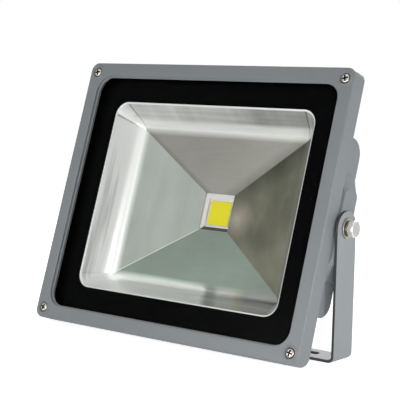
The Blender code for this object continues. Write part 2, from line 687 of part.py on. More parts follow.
def rear_housing():
    """Cast body: flange, pyramid shell, fins, side walls with pivot blocks, driver chamber and every hole."""
    land = (BODY_HALF_WIDTH + LAND_WIDTH / 2, BODY_HALF_HEIGHT + LAND_WIDTH / 2)
    flange = (FRAME_WIDTH / 2 - SKIRT_WALL - FLANGE_GAP, FRAME_HEIGHT / 2 - SKIRT_WALL - FLANGE_GAP)
    body = (BODY_HALF_WIDTH, BODY_HALF_HEIGHT)
    skirt_end = HOUSING_FRONT + BODY_SKIRT
    builder = bmesh.new()
    loft(builder, [
        (*land, WINDOW_CORNER + 7.0, LAND_FRONT), (*land, WINDOW_CORNER + 7.0, HOUSING_FRONT),
        (*flange, FLANGE_CORNER, HOUSING_FRONT), (*flange, FLANGE_CORNER, FLANGE_BACK - 0.5),
        (flange[0] - 0.5, flange[1] - 0.5, FLANGE_CORNER - 0.5, FLANGE_BACK),
        (*body, WINDOW_CORNER + 4.0, FLANGE_BACK), (body[0] - 2.0, body[1] - 2.0, WINDOW_CORNER + 2.0, skirt_end),
        (PLATE_HALF_WIDTH + 2.5, PLATE_HALF_HEIGHT + 2.5, 10.0, PLATE_BACK - 3.0),
        (PLATE_HALF_WIDTH, PLATE_HALF_HEIGHT, 9.0, PLATE_BACK),
    ])
    housing = make_object("rear_housing", builder, grey_coat())
    combine(housing, housing_fins(), "UNION")
    combine(housing, gland_notch(), "DIFFERENCE")

    chamber = bmesh.new()
    outline = (CHAMBER_HALF_WIDTH, CHAMBER_HALF_HEIGHT)
    loft(chamber, [(*outline, CHAMBER_CORNER, PLATE_FRONT + 1.7), (*outline, CHAMBER_CORNER, CHAMBER_DEPTH)],
         centre=(0.0, CHAMBER_Z))
    combine(housing, make_object("chamber", chamber, grey_coat()), "UNION")
    combine(housing, pivot_blocks(), "UNION")

    bosses = bmesh.new()
    for x, z in screw_places():
        cylinder(bosses, BOSS_RADIUS, HOUSING_FRONT + FLANGE_THICKNESS / 2, BOSS_DEPTH, at(x, 0.0, z, BACKWARD))
    for side in (-1, 1):
        place = at(0.0, PIVOT_Y, PIVOT_Z, sideways(side))
        cylinder(bosses, PIVOT_BARREL_RADIUS, PIVOT_BARREL_END, SIDE_HALF_WIDTH - SIDE_WALL / 3, place)
    combine(housing, make_object("bosses", bosses, grey_coat()), "UNION")
    combine(housing, lamp_cavity(), "DIFFERENCE")
    combine(housing, chamber_cavity(), "DIFFERENCE")
    combine(housing, housing_holes(), "DIFFERENCE")
    return housing


def gland_notch():
    """Room cut out of the fins for the cable inlet."""
    builder = bmesh.new()
    top = CHAMBER_Z - CHAMBER_HALF_HEIGHT - 0.1
    bottom = PIVOT_Z - SIDE_HALF_HEIGHT - FIN_RISE_HEIGHT - TOOL_REACH
    front = GLAND_DEPTH - GLAND_FLATS / math.sqrt(3.0) - FIN_NOTCH_MARGIN
    back = SIDE_DEPTH + FIN_RISE_DEPTH + TOOL_REACH
    size = (FIN_NOTCH_HALF_WIDTH, (top - bottom) / 2, 1.0)
    loft(builder, [(*size, front), (*size, back)], centre=(0.0, (top + bottom) / 2), steps=2)
    return make_object("notch", builder, grey_coat())


def lamp_cavity():
    """Hollow in front of the back plate, for the reflector and the emitter."""
    mouth = (CAVITY_HALF_WIDTH, CAVITY_HALF_HEIGHT)
    builder = bmesh.new()
    loft(builder, [
        (*mouth, WINDOW_CORNER + 1.0, LAND_FRONT - 2.0),
        (mouth[0] - 1.0, mouth[1] - 1.0, WINDOW_CORNER, HOUSING_FRONT + BODY_SKIRT - 1.5),
        (PLATE_HALF_WIDTH - 2.5, PLATE_HALF_HEIGHT - 2.5, 7.0, PLATE_FRONT),
    ])
    return make_object("cavity", builder, grey_coat())


def chamber_posts():
    """Centres of the posts that take the cover's screws."""
    reach_x = CHAMBER_HALF_WIDTH - CHAMBER_POST_INSET
    reach_z = CHAMBER_HALF_HEIGHT - CHAMBER_POST_INSET
    return [(side_x * reach_x, CHAMBER_Z + side_z * reach_z) for side_x in (-1, 1) for side_z in (-1, 1)]


def chamber_cavity():
    """Hollow for the driver, with a post left standing in each corner."""
    size = (CHAMBER_HALF_WIDTH - CHAMBER_WALL, CHAMBER_HALF_HEIGHT - CHAMBER_WALL, CHAMBER_CORNER - CHAMBER_WALL / 2)
    builder = bmesh.new()
    loft(builder, [(*size, CHAMBER_FLOOR), (*size, CHAMBER_DEPTH + 1.0)], centre=(0.0, CHAMBER_Z))
    cavity = make_object("chamber_cavity", builder, grey_coat())
    posts = bmesh.new()
    for x, z in chamber_posts():
        cylinder(posts, CHAMBER_POST_RADIUS, CHAMBER_FLOOR - 1.0, CHAMBER_DEPTH + 2.0, at(x, 0.0, z, BACKWARD))
    combine(cavity, make_object("chamber_posts", posts, grey_coat()), "DIFFERENCE")
    return cavity


def housing_holes():
    """Drilled and cored holes: frame screws, emitter, driver, cover, leads, tilt bolts and cable inlet."""
    builder = bmesh.new()
    for x, z in screw_places():
        cylinder(builder, SCREW_RADIUS + CLEARANCE, HOUSING_FRONT - 2.0, SCREW_GRIP + 1.5, at(x, 0.0, z, BACKWARD),
                 SMALL_STEPS)
    for x, z in emitter_bolts():
        cylinder(builder, SMALL_SCREW_HOLE, PLATE_FRONT - 1.0, PLATE_FRONT + DRIVER_SCREW_GRIP + CLEARANCE,
                 at(x, 0.0, z, BACKWARD), SMALL_STEPS)
    for side in (-1, 1):
        cylinder(builder, SMALL_SCREW_HOLE, CHAMBER_FLOOR - DRIVER_SCREW_GRIP - CLEARANCE, CHAMBER_FLOOR + 1.0,
                 at(side * DRIVER_SCREW_X, 0.0, DRIVER_Z, BACKWARD), SMALL_STEPS)
        cylinder(builder, BOLT_RADIUS + CLEARANCE, BOLT_END - 1.5, YOKE_INSIDE + 2.0,
                 at(0.0, PIVOT_Y, PIVOT_Z, sideways(side)))
    for x, z in chamber_posts():
        cylinder(builder, SMALL_SCREW_HOLE, CHAMBER_DEPTH - COVER_SCREW_GRIP, CHAMBER_DEPTH + 1.0,
                 at(x, 0.0, z, BACKWARD), SMALL_STEPS)
    cylinder(builder, LEAD_HOLE_RADIUS, PLATE_FRONT - 1.0, CHAMBER_FLOOR + 1.0, at(0.0, 0.0, LEAD_HOLE_Z, BACKWARD))
    wall = CHAMBER_HALF_HEIGHT - CHAMBER_Z
    cylinder(builder, GLAND_STUB_RADIUS + CLEARANCE, wall - CHAMBER_WALL - 1.5, wall + 1.5,
             at(0.0, GLAND_DEPTH, 0.0, DOWNWARD))
    return make_object("holes", builder, grey_coat())


# Driver, leads and chamber lid
def driver():
    """Power supply in a metal case with two screw ears."""
    back = DRIVER_FRONT + DRIVER_DEPTH
    body = (DRIVER_WIDTH / 2, DRIVER_HEIGHT / 2)
    builder = bmesh.new()
    loft(builder, [
        (*body, 2.0, DRIVER_FRONT), (*body, 2.0, back - 2.0), (body[0] - 2.0, body[1] - 2.0, 1.5, back),
    ], centre=(0.0, DRIVER_Z), steps=3)
    case = make_object("driver", builder, finish("driver_case", (0.75, 0.76, 0.77), 0.4, 1.0))
    ears = bmesh.new()
    ear = (DRIVER_EAR_WIDTH / 2, DRIVER_EAR_HEIGHT / 2, 3.0)
    loft(ears, [(*ear, DRIVER_FRONT + 0.1), (*ear, DRIVER_FRONT + 0.1 + DRIVER_EAR_THICKNESS)],
         centre=(0.0, DRIVER_Z), steps=3)
    combine(case, make_object("ears", ears, grey_coat()), "UNION")
    holes = bmesh.new()
    for side in (-1, 1):
        cylinder(holes, SMALL_SCREW_HOLE, DRIVER_FRONT - 1.0, DRIVER_FRONT + DRIVER_EAR_THICKNESS + 1.0,
                 at(side * DRIVER_SCREW_X, 0.0, DRIVER_Z, BACKWARD), SMALL_STEPS)
    combine(case, make_object("ear_holes", holes, grey_coat()), "DIFFERENCE")
    return case


def driver_screws():
    """Two screws through the driver's ears."""
    screws = []
    for index, side in enumerate((-1, 1), start=1):
        seat = DRIVER_FRONT + 0.1 + DRIVER_EAR_THICKNESS + CLEARANCE
        grip = seat - CHAMBER_FLOOR + DRIVER_SCREW_GRIP
        place = at(side * DRIVER_SCREW_X, seat, DRIVER_Z, BACKWARD)
        screws.append(pan_screw(f"driver_screw_{index}", SMALL_SCREW_RADIUS, SMALL_SCREW_HEAD_RADIUS,
                                SMALL_SCREW_HEAD_HEIGHT, grip, place))
    return screws


def lead(name, side, colour):
    """Insulated lead from the emitter's base, behind the reflector, through the plate to the driver's end."""
    pad = EMITTER_BASE_FRONT - CLEARANCE - LEAD_RADIUS
    plate = PLATE_FRONT - CLEARANCE - LEAD_RADIUS
    pair = LEAD_RADIUS + CLEARANCE + 0.2
    driver_end = DRIVER_Z + DRIVER_HEIGHT / 2 + CLEARANCE
    route = [
        (21.0, pad, 1.0), (23.5, pad, 4.0), (28.0, pad, 9.0), (30.0, plate - 0.8, 16.0), (26.0, plate - 0.6, 23.0),
        (15.0, plate - 0.5, 28.0), (5.0, plate, LEAD_HOLE_Z - 1.0), (pair + 0.4, PLATE_FRONT + 1.0, LEAD_HOLE_Z),
        (pair, PLATE_BACK, LEAD_HOLE_Z), (pair, PLATE_BACK + 4.5, LEAD_HOLE_Z - 1.5),
        (pair + 1.0, PLATE_BACK + 8.0, LEAD_HOLE_Z - 6.0), (pair + 2.0, PLATE_BACK + 9.0, driver_end + 6.0),
        (pair + 2.0, PLATE_BACK + 9.0, driver_end),
    ]
    points = smooth_path([Vector((side * x, y, z)) for x, y, z in route], 3)
    curve = bpy.data.curves.new(name, "CURVE")
    curve.dimensions = "3D"
    curve.bevel_depth = LEAD_RADIUS * MM
    curve.bevel_resolution = 1
    curve.use_fill_caps = True
    spline = curve.splines.new("POLY")
    spline.points.add(len(points) - 1)
    for point, place in zip(spline.points, points):
        point.co = (*(place * MM), 1.0)
    curve.materials.append(finish(name + "_jacket", colour, 0.45))
    thing = bpy.data.objects.new(name, curve)
    bpy.context.scene.collection.objects.link(thing)
    return thing


def smooth_path(points, steps):
    """Catmull-Rom curve through the points, with a given number of steps for each stretch."""
    path = []
    last = len(points) - 1
    for index in range(last):
        before = points[max(index - 1, 0)]
        start = points[index]
        end = points[index + 1]
        after = points[min(index + 2, last)]
        for step in range(steps):
            t = step / steps
            path.append(0.5 * ((2 * start) + (end - before) * t + (2 * before - 5 * start + 4 * end - after) * t ** 2
                               + (3 * start - before - 3 * end + after) * t ** 3))
    path.append(points[-1])
    return path


def chamber_gasket():
    """Flat silicone ring between the chamber and its cover."""
    def ring_station(inset, depth):
        return (CHAMBER_HALF_WIDTH - inset, CHAMBER_HALF_HEIGHT - inset, CHAMBER_CORNER - inset, depth)

    inset = 0.4
    back = GASKET_FRONT + GASKET_THICKNESS
    builder = bmesh.new()
    loft(builder, [
        ring_station(inset, GASKET_FRONT), ring_station(inset + GASKET_WIDTH, GASKET_FRONT),
        ring_station(inset + GASKET_WIDTH, back), ring_station(inset, back),
    ], ring=True, centre=(0.0, CHAMBER_Z))
    return make_object("chamber_gasket", builder, silicone())


def chamber_cover():
    """Cast lid with a raised panel and four screw holes."""
    def lid_station(inset, corner, depth):
        return (CHAMBER_HALF_WIDTH - inset, CHAMBER_HALF_HEIGHT - inset, corner, depth)

    builder = bmesh.new()
    loft(builder, [
        lid_station(0.0, CHAMBER_CORNER, COVER_FRONT),
        lid_station(0.0, CHAMBER_CORNER, COVER_BACK - COVER_EDGE),
        lid_station(COVER_EDGE, CHAMBER_CORNER - COVER_EDGE, COVER_BACK),
        lid_station(COVER_PANEL_INSET, 4.0, COVER_BACK),
        lid_station(COVER_PANEL_INSET + COVER_PANEL_RISE, 3.5, COVER_BACK + COVER_PANEL_RISE),
    ], centre=(0.0, CHAMBER_Z))
    cover = make_object("chamber_cover", builder, grey_coat())
    holes = bmesh.new()
    for x, z in chamber_posts():
        cylinder(holes, SMALL_SCREW_HOLE, COVER_FRONT - 1.0, COVER_BACK + 1.0, at(x, 0.0, z, BACKWARD), SMALL_STEPS)
    combine(cover, make_object("cover_holes", holes, grey_coat()), "DIFFERENCE")
    return cover


def cover_screws():
    """Four screws through the lid into the chamber's posts."""
    screws = []
    seat = COVER_BACK + CLEARANCE
    for index, (x, z) in enumerate(chamber_posts(), start=1):
        grip = seat - CHAMBER_DEPTH + COVER_SCREW_GRIP - 1.0
        screws.append(pan_screw(f"cover_screw_{index}", SMALL_SCREW_RADIUS, SMALL_SCREW_HEAD_RADIUS,
                                SMALL_SCREW_HEAD_HEIGHT, grip, at(x, seat, z, BACKWARD)))
    return screws


# Cable inlet
def hexagon(name, flats, start, end, chamfer, material, place):
    """Hexagon bar with a chamfered end, its flats to the left and right."""
    corner = flats / math.sqrt(3.0)
    builder = bmesh.new()
    turned(builder, [
        (0.0, start), (corner, start), (corner, end - chamfer), (corner - 1.3 * chamfer, end), (0.0, end),
    ], steps=6, phase=0.5)
    return make_object(name, builder, material, place)


def pierce(target, steps, place):
    """Cut a stepped round hole, given as (radius, height) points, along the place's own axis."""
    builder = bmesh.new()
    turned(builder, [(0.0, steps[0][1]), *steps, (0.0, steps[-1][1])], place=place)
    combine(target, make_object("hole", builder, grey_coat()), "DIFFERENCE")


def gland_body(place, start, wall_in):
    """Hexagon flange with a threaded stub above and a nose below, bored through."""
    flange_end = start + GLAND_FLANGE
    nose_end = flange_end + GLAND_NOSE_LENGTH
    stub_start = wall_in + CHAMBER_WALL - GLAND_STUB_LENGTH
    step = flange_end - GLAND_SEAL_STEP
    body = hexagon("gland_body", GLAND_FLATS, start, flange_end, 0.6, black_polymer(), place)
    builder = bmesh.new()
    turned(builder, [
        (0.0, stub_start), (GLAND_STUB_RADIUS - 0.5, stub_start), (GLAND_STUB_RADIUS, stub_start + 0.5),
        (GLAND_STUB_RADIUS, start + 1.0), (GLAND_NOSE_RADIUS, start + 1.0), (GLAND_NOSE_RADIUS, nose_end),
        (0.0, nose_end),
    ], place=place)
    combine(body, make_object("stub", builder, black_polymer()), "UNION")
    seat = GLAND_SEAL_RADIUS + CLEARANCE
    pierce(body, [(GLAND_BORE, stub_start - 1.0), (GLAND_BORE, step), (seat, step), (seat, nose_end + 1.0)], place)
    return body


def gland_nut(place, start, crown):
    """Cap nut: hexagon grip, round dome and the hole for the cable."""
    end = start + GLAND_NUT_LENGTH
    grip = GLAND_FLATS / 2
    nut = hexagon("gland_nut", GLAND_FLATS, start, start + GLAND_NUT_GRIP, 0.6, black_polymer(), place)
    builder = bmesh.new()
    turned(builder, [
        (0.0, start + 1.0), (grip - 0.8, start + 1.0), (grip - 0.8, start + GLAND_NUT_GRIP + 0.6),
        (grip - 1.8, end - GLAND_NUT_DOME / 2), (grip - 3.4, end - 0.5), (grip - 4.2, end), (0.0, end),
    ], place=place)
    combine(nut, make_object("dome", builder, black_polymer()), "UNION")
    thread = GLAND_NOSE_RADIUS + CLEARANCE
    pierce(nut, [(thread, start - 1.0), (thread, crown), (GLAND_NUT_BORE, crown), (GLAND_NUT_BORE, end + 1.0)], place)
    return nut


def gland_pieces():
    """Washer, body, seal, cap nut and lock nut, below and inside the chamber's lower wall."""
    wall_out = CHAMBER_HALF_HEIGHT - CHAMBER_Z
    wall_in = wall_out - CHAMBER_WALL
    place = at(0.0, GLAND_DEPTH, 0.0, DOWNWARD)
    washer_start = wall_out + CLEARANCE
    washer_end = washer_start + GLAND_WASHER
    body_start = washer_end + CLEARANCE
    flange_end = body_start + GLAND_FLANGE
    seal_end = flange_end + GLAND_NOSE_LENGTH + GLAND_SEAL_PROUD
    lock_end = wall_in - CLEARANCE

    builder = bmesh.new()
    inner = GLAND_STUB_RADIUS + CLEARANCE
    outer = GLAND_FLATS / 2 - 0.3
    turned(builder, [(inner, washer_start), (outer, washer_start), (outer, washer_end), (inner, washer_end)],
           ring=True)
    washer = make_object("gland_washer", builder, black_polymer(), place)

    builder = bmesh.new()
    seal_start = flange_end - GLAND_SEAL_STEP + CLEARANCE
    turned(builder, [
        (GLAND_SEAL_BORE, seal_start), (GLAND_SEAL_RADIUS, seal_start), (GLAND_SEAL_RADIUS, seal_end - 1.0),
        (GLAND_SEAL_RADIUS - 0.6, seal_end), (GLAND_SEAL_BORE, seal_end),
    ], ring=True)
    seal = make_object("gland_seal", builder, finish("rubber", (0.03, 0.03, 0.03), 0.8), place)

    locknut = hexagon("gland_locknut", GLAND_FLATS, lock_end - GLAND_LOCKNUT_THICKNESS, lock_end, 0.5,
                      black_polymer(), place)
    hole = GLAND_STUB_RADIUS + CLEARANCE
    pierce(locknut, [(hole, lock_end - TOOL_REACH), (hole, lock_end + 1.0)], place)
    return [washer, gland_body(place, body_start, wall_in), seal,
            gland_nut(place, flange_end + CLEARANCE, seal_end + CLEARANCE), locknut]


# Tilt hardware and bracket
def tilt_hardware(side, word):
    """Hexagon bolt, split spring washer and flat washer on one side of the bracket."""
    turn = sideways(side)
    outside = YOKE_HALF_WIDTH
    flat_start = outside + CLEARANCE
    flat_end = flat_start + FLAT_WASHER
    hole = BOLT_RADIUS + CLEARANCE
    builder = bmesh.new()
    turned(builder, [
        (hole, flat_start), (FLAT_WASHER_RADIUS, flat_start), (FLAT_WASHER_RADIUS, flat_end), (hole, flat_end),
    ], ring=True, steps=24)
    flat = make_object(f"flat_washer_{word}", builder, plated_steel(), turn)

    spring_start = flat_end + CLEARANCE
    spring = spring_washer(f"spring_washer_{word}", spring_start, turn)

    head_start = spring_start + SPRING_WASHER + CLEARANCE
    head_end = head_start + BOLT_HEAD
    hexagon = BOLT_FLATS / math.sqrt(3.0)
    builder = bmesh.new()
    turned(builder, [
        (0.0, head_start), (hexagon, head_start), (hexagon, head_end - 0.6), (hexagon - 0.9, head_end),
        (0.0, head_end),
    ], steps=6)
    bolt = make_object(f"pivot_bolt_{word}", builder, plated_steel(), turn)
    shank = bmesh.new()
    turned(shank, [
        (0.0, BOLT_END), (BOLT_RADIUS - 0.8, BOLT_END), (BOLT_RADIUS, BOLT_END + 0.8),
        (BOLT_RADIUS, head_start + BOLT_HEAD / 2), (0.0, head_start + BOLT_HEAD / 2),
    ])
    combine(bolt, make_object("shank", shank, plated_steel(), turn), "UNION")
    return flat, spring, bolt


def spring_washer(name, start, turn, steps=24):
    """Square section wound once round the bolt, its two ends apart at the split."""
    inner = BOLT_RADIUS + CLEARANCE
    section = [
        (inner, start), (SPRING_WASHER_RADIUS, start), (SPRING_WASHER_RADIUS, start + SPRING_WASHER),
        (inner, start + SPRING_WASHER),
    ]
    sweep = math.radians(360.0 - SPRING_WASHER_SPLIT)
    builder = bmesh.new()
    rings = []
    for step in range(steps + 1):
        angle = sweep * step / steps
        rings.append([builder.verts.new((radius * math.cos(angle), radius * math.sin(angle), height))
                      for radius, height in section])
    for first, second in zip(rings, rings[1:]):
        for index in range(4):
            following = (index + 1) % 4
            builder.faces.new((first[index], first[following], second[following], second[index]))
    builder.faces.new(rings[0])
    builder.faces.new(rings[-1])
    return make_object(name, builder, plated_steel(), turn)


def yoke():
    """Bent sheet bracket: base with two slots, round bends, and arms with full round ends."""
    bend_inside = YOKE_BEND - YOKE_SHEET
    top = PIVOT_HEIGHT + YOKE_BAND
    section = [(YOKE_HALF_WIDTH, top)]
    corner = YOKE_HALF_WIDTH - YOKE_BEND
    for step in range(CORNER_STEPS + 1):
        angle = math.radians(90.0 * step / CORNER_STEPS)
        section.append((corner + YOKE_BEND * math.cos(angle), YOKE_BEND - YOKE_BEND * math.sin(angle)))
    inside = [(YOKE_HALF_WIDTH - YOKE_SHEET, top)]
    for step in range(CORNER_STEPS + 1):
        angle = math.radians(90.0 * step / CORNER_STEPS)
        inside.append((corner + bend_inside * math.cos(angle), YOKE_BEND - bend_inside * math.sin(angle)))
    outer = section + [(-x, z) for x, z in reversed(section)]
    inner = inside + [(-x, z) for x, z in reversed(inside)]
    outline = outer + list(reversed(inner))
    builder = bmesh.new()
    ends = []
    for y in (-YOKE_BAND, YOKE_BAND):
        ends.append([builder.verts.new((x, y, z)) for x, z in outline])
    count = len(outline)
    half = count // 2
    for index in range(count):
        following = (index + 1) % count
        builder.faces.new((ends[0][index], ends[0][following], ends[1][following], ends[1][index]))
    for end in ends:
        for index in range(half - 1):
            builder.faces.new((end[index], end[index + 1], end[count - 2 - index], end[count - 1 - index]))
    bracket = make_object("yoke", builder, grey_coat())

    band = bmesh.new()
    reach = YOKE_BAND / 2
    arc = [(reach * math.cos(math.radians(a * 15.0)), PIVOT_HEIGHT + reach * math.sin(math.radians(a * 15.0)))
           for a in range(13)]
    outline = [(reach, -1.0)] + arc + [(-reach, -1.0)]
    sides = []
    for x in (-YOKE_HALF_WIDTH - 1.0, YOKE_HALF_WIDTH + 1.0):
        loop = [band.verts.new((x, y, z)) for y, z in outline]
        band.faces.new(loop)
        sides.append(loop)
    for index in range(len(outline)):
        following = (index + 1) % len(outline)
        band.faces.new((sides[0][index], sides[0][following], sides[1][following], sides[1][index]))
    combine(bracket, make_object("band", band, grey_coat()), "INTERSECT")

    cuts = bmesh.new()
    for side in (-1, 1):
        cylinder(cuts, BOLT_HOLE, YOKE_INSIDE - 2.0, YOKE_HALF_WIDTH + 2.0,
                 at(0.0, 0.0, PIVOT_HEIGHT, sideways(side)))
        loop_size = (SLOT_LENGTH / 2, SLOT_WIDTH / 2, SLOT_WIDTH / 2 - 0.01)
        loft(cuts, [(*loop_size, -1.0), (*loop_size, YOKE_SHEET + 1.0)],
             lay=lambda across, up, depth: Vector((across, up, depth)), centre=(side * SLOT_CENTRE, 0.0))
    combine(bracket, make_object("cuts", cuts, grey_coat()), "DIFFERENCE")
    return bracket


# Assembly
def tilt_axis():
    """Empty on the tilt axis, turned to the pose in which the lamp stands."""
    empty = bpy.data.objects.new("tilt_axis", None)
    empty.location = (0.0, 0.0, PIVOT_HEIGHT * MM)
    empty.rotation_euler = (math.radians(-TILT), 0.0, 0.0)
    bpy.context.scene.collection.objects.link(empty)
    return empty


def hang(thing, empty, drop):
    """Carry a piece on the tilt axis; drop is where its own drawing starts from the axis."""
    thing.parent = empty
    thing.location = drop


def build():
    """Make every piece and put it in its place."""
    for old in list(bpy.data.objects):
        bpy.data.objects.remove(old)
    empty = tilt_axis()
    lamp = [front_bezel(), glass(), glass_seal(), reflector()]
    lamp += [emitter_base(), emitter_frame(), emitter_phosphor()]
    lamp += bezel_screws() + emitter_screws()
    lamp += [rear_housing(), driver(), chamber_gasket(), chamber_cover()]
    lamp += driver_screws() + cover_screws() + gland_pieces()
    lamp += [lead("lead_positive", 1, (0.6, 0.03, 0.02)), lead("lead_negative", -1, (0.02, 0.02, 0.02))]
    drop = Vector((0.0, -PIVOT_Y * MM, -PIVOT_Z * MM))
    for piece in lamp:
        hang(piece, empty, drop)
    yoke()
    for side, word in ((-1, "left"), (1, "right")):
        for piece in tilt_hardware(side, word):
            hang(piece, empty, Vector((0.0, 0.0, 0.0)))


build()
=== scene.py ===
"""Looks of the LED floodlight: fine pieces, finishes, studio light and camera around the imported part.

Sizes are in millimetres and are drawn either in lamp axes (x to the right, y back from the lamp's front
face, z up) or in bracket axes (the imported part's own, with the bracket's base plate on z = 0).
"""
import json
import logging
import math
from collections.abc import Callable, Iterable, Mapping, Sequence
from dataclasses import dataclass, field
from enum import Enum

import bmesh
import bpy
from mathutils import Matrix, Vector


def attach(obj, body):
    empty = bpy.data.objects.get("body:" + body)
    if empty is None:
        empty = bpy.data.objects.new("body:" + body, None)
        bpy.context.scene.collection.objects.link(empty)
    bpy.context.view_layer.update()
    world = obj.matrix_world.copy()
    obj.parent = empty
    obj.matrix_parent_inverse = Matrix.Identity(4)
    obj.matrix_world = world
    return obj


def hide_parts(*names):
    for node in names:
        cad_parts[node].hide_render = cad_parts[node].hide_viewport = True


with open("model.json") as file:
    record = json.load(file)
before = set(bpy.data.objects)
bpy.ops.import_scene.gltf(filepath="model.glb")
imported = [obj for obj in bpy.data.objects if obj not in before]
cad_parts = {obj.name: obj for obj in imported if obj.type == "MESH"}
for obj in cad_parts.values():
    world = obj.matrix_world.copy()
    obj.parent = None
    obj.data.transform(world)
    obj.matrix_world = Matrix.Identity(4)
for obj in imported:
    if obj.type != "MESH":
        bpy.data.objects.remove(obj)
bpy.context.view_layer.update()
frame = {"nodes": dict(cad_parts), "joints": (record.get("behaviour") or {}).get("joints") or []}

MM = 0.001
GAMMA = 2.2
HEAD = "head"
BRACKET = "bracket"
TILT_JOINT = "tilt"

log = logging.getLogger("floodlight")

Colour = tuple[float, float, float]
Station = tuple[float, float, float, float]
Profile = Sequence[tuple[float, float]]
Piece = bpy.types.Object


def screen_colour(red: int, green: int, blue: int) -> Colour:
    """Turn a colour as a screen shows it, 0 to 255, into the linear values that shaders use.

    Args:
        red: Red, 0 to 255.
        green: Green, 0 to 255.
        blue: Blue, 0 to 255.

    Returns:
        The three linear values, 0 to 1.
    """
    def linear(level: int) -> float:
        """One value on its own."""
        share = level / 255
        return share / 12.92 if share <= 0.04045 else ((share + 0.055) / 1.055) ** 2.4

    return linear(red), linear(green), linear(blue)


class Facing(Enum):
    """Direction that a turned part's own axis points in, in lamp or bracket axes."""

    FRONT = "front"
    BACK = "back"
    DOWN = "down"
    RIGHT = "right"
    LEFT = "left"

    @property
    def turn(self) -> Matrix:
        """Rotation from the part's own +z to this direction."""
        quarter = math.radians(90)
        return {
            Facing.FRONT: Matrix.Rotation(quarter, 4, "X"),
            Facing.BACK: Matrix.Rotation(-quarter, 4, "X"),
            Facing.DOWN: Matrix.Rotation(2 * quarter, 4, "X"),
            Facing.RIGHT: Matrix.Rotation(quarter, 4, "Y"),
            Facing.LEFT: Matrix.Rotation(-quarter, 4, "Y"),
        }[self]


@dataclass(frozen=True)
class LampAxes:
    """Where the tilted lamp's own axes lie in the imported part."""

    tilt: float = 17.6
    pivot_back: float = 26.5
    pivot_rise: float = -5.0

    @property
    def pivot_height(self) -> float:
        """Height of the tilt axis over the bracket's base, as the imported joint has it."""
        joint = next(j for j in frame["joints"] if j["name"] == TILT_JOINT)
        return joint["pos_m"][2] / MM

    @property
    def matrix(self) -> Matrix:
        """Lamp millimetres to world metres."""
        raised = Matrix.Translation((0, 0, self.pivot_height))
        leaned = Matrix.Rotation(math.radians(-self.tilt), 4, "X")
        hung = Matrix.Translation((0, -self.pivot_back, -self.pivot_rise))
        return Matrix.Scale(MM, 4) @ raised @ leaned @ hung

    def box(self, node: str) -> tuple[Vector, Vector]:
        """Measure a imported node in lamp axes.

        Args:
            node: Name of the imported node.

        Returns:
            Its lowest and highest corners in millimetres.
        """
        inverse = self.matrix.inverted()
        points = [inverse @ vertex.co for vertex in frame["nodes"][node].data.vertices]
        low = Vector([min(point[axis] for point in points) for axis in range(3)])
        high = Vector([max(point[axis] for point in points) for axis in range(3)])
        return low, high

    def extent(self, node: str) -> tuple[float, float, float, float]:
        """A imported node's half width, half height and the depths of its front and back."""
        low, high = self.box(node)
        return (high.x - low.x) / 2, (high.z - low.z) / 2, low.y, high.y


LAMP = LampAxes()
BRACKET_MATRIX = Matrix.Scale(MM, 4)


# Node trees
class Field:
    """Output socket whose arithmetic adds nodes to its tree."""

    def __init__(self, tree: "Tree", socket: bpy.types.NodeSocket) -> None:
        """Hold a socket of a tree."""
        self.tree = tree
        self.socket = socket

    def maths(self, operation: str, *others: "Field | float") -> "Field":
        """Result of a Math node on this number and others, in the node's order."""
        values = dict(enumerate((self, *others)))
        return self.tree.add("ShaderNodeMath", values, operation=operation)

    def __add__(self, other: "Field | float") -> "Field":
        """Sum."""
        return self.maths("ADD", other)

    __radd__ = __add__

    def __sub__(self, other: "Field | float") -> "Field":
        """Difference."""
        return self.maths("SUBTRACT", other)

    def __rsub__(self, other: float) -> "Field":
        """Difference with a number on the left."""
        return self.tree.add("ShaderNodeMath", {0: other, 1: self}, operation="SUBTRACT")

    def __mul__(self, other: "Field | float") -> "Field":
        """Product."""
        return self.maths("MULTIPLY", other)

    __rmul__ = __mul__

    def __truediv__(self, other: "Field | float") -> "Field":
        """Quotient."""
        return self.maths("DIVIDE", other)

    def __pow__(self, other: float) -> "Field":
        """Power."""
        return self.maths("POWER", other)

    def __abs__(self) -> "Field":
        """Size without its sign."""
        return self.maths("ABSOLUTE")

    def clamped(self) -> "Field":
        """This number held between 0 and 1."""
        return self.tree.add("ShaderNodeClamp", {"Value": self})

    def over(self, edge: float, softness: float) -> "Field":
        """Share that rises from 0 to 1 round an edge, over a width of the softness."""
        return ((self - (edge - softness / 2)) * (1 / softness)).clamped()


class Tree:
    """Node tree to which every node is added by one method."""

    def __init__(self, nodes: bpy.types.NodeTree) -> None:
        """Hold the tree."""
        self.nodes = nodes

    def connect(self, socket: bpy.types.NodeSocket, value: object) -> None:
        """Give an input socket a link or a value.

        Args:
            socket: The input.
            value: A field, several fields or a plain value.
        """
        if isinstance(value, Field):
            self.nodes.links.new(value.socket, socket)
        elif isinstance(value, (list, tuple)) and value and isinstance(value[0], Field):
            for item in value:
                self.nodes.links.new(item.socket, socket)
        elif isinstance(value, tuple) and socket.type == "RGBA" and len(value) == 3:
            socket.default_value = (*value, 1.0)
        else:
            socket.default_value = value

    def place(self, kind: str, sockets: Mapping[object, object], **settings: object) -> bpy.types.Node:
        """Add a node: its settings first, then its sockets.

        Args:
            kind: Type of the node.
            sockets: Values or fields by the input's name or index.
            settings: The node's own settings by attribute.

        Returns:
            The new node.
        """
        node = self.nodes.nodes.new(kind)
        for name, value in settings.items():
            setattr(node, name, value)
        for name, value in sockets.items():
            self.connect(node.inputs[name], value)
        return node

    def add(self, kind: str, sockets: Mapping[object, object], output: str | int = 0,
            **settings: object) -> Field:
        """Add a node as place does, and take one of its outputs by name or index."""
        return Field(self, self.place(kind, sockets, **settings).outputs[output])

    def vector(self, across: Field | float, along: Field | float, up: Field | float) -> Field:
        """Vector of three numbers."""
        return self.add("ShaderNodeCombineXYZ", {"X": across, "Y": along, "Z": up})


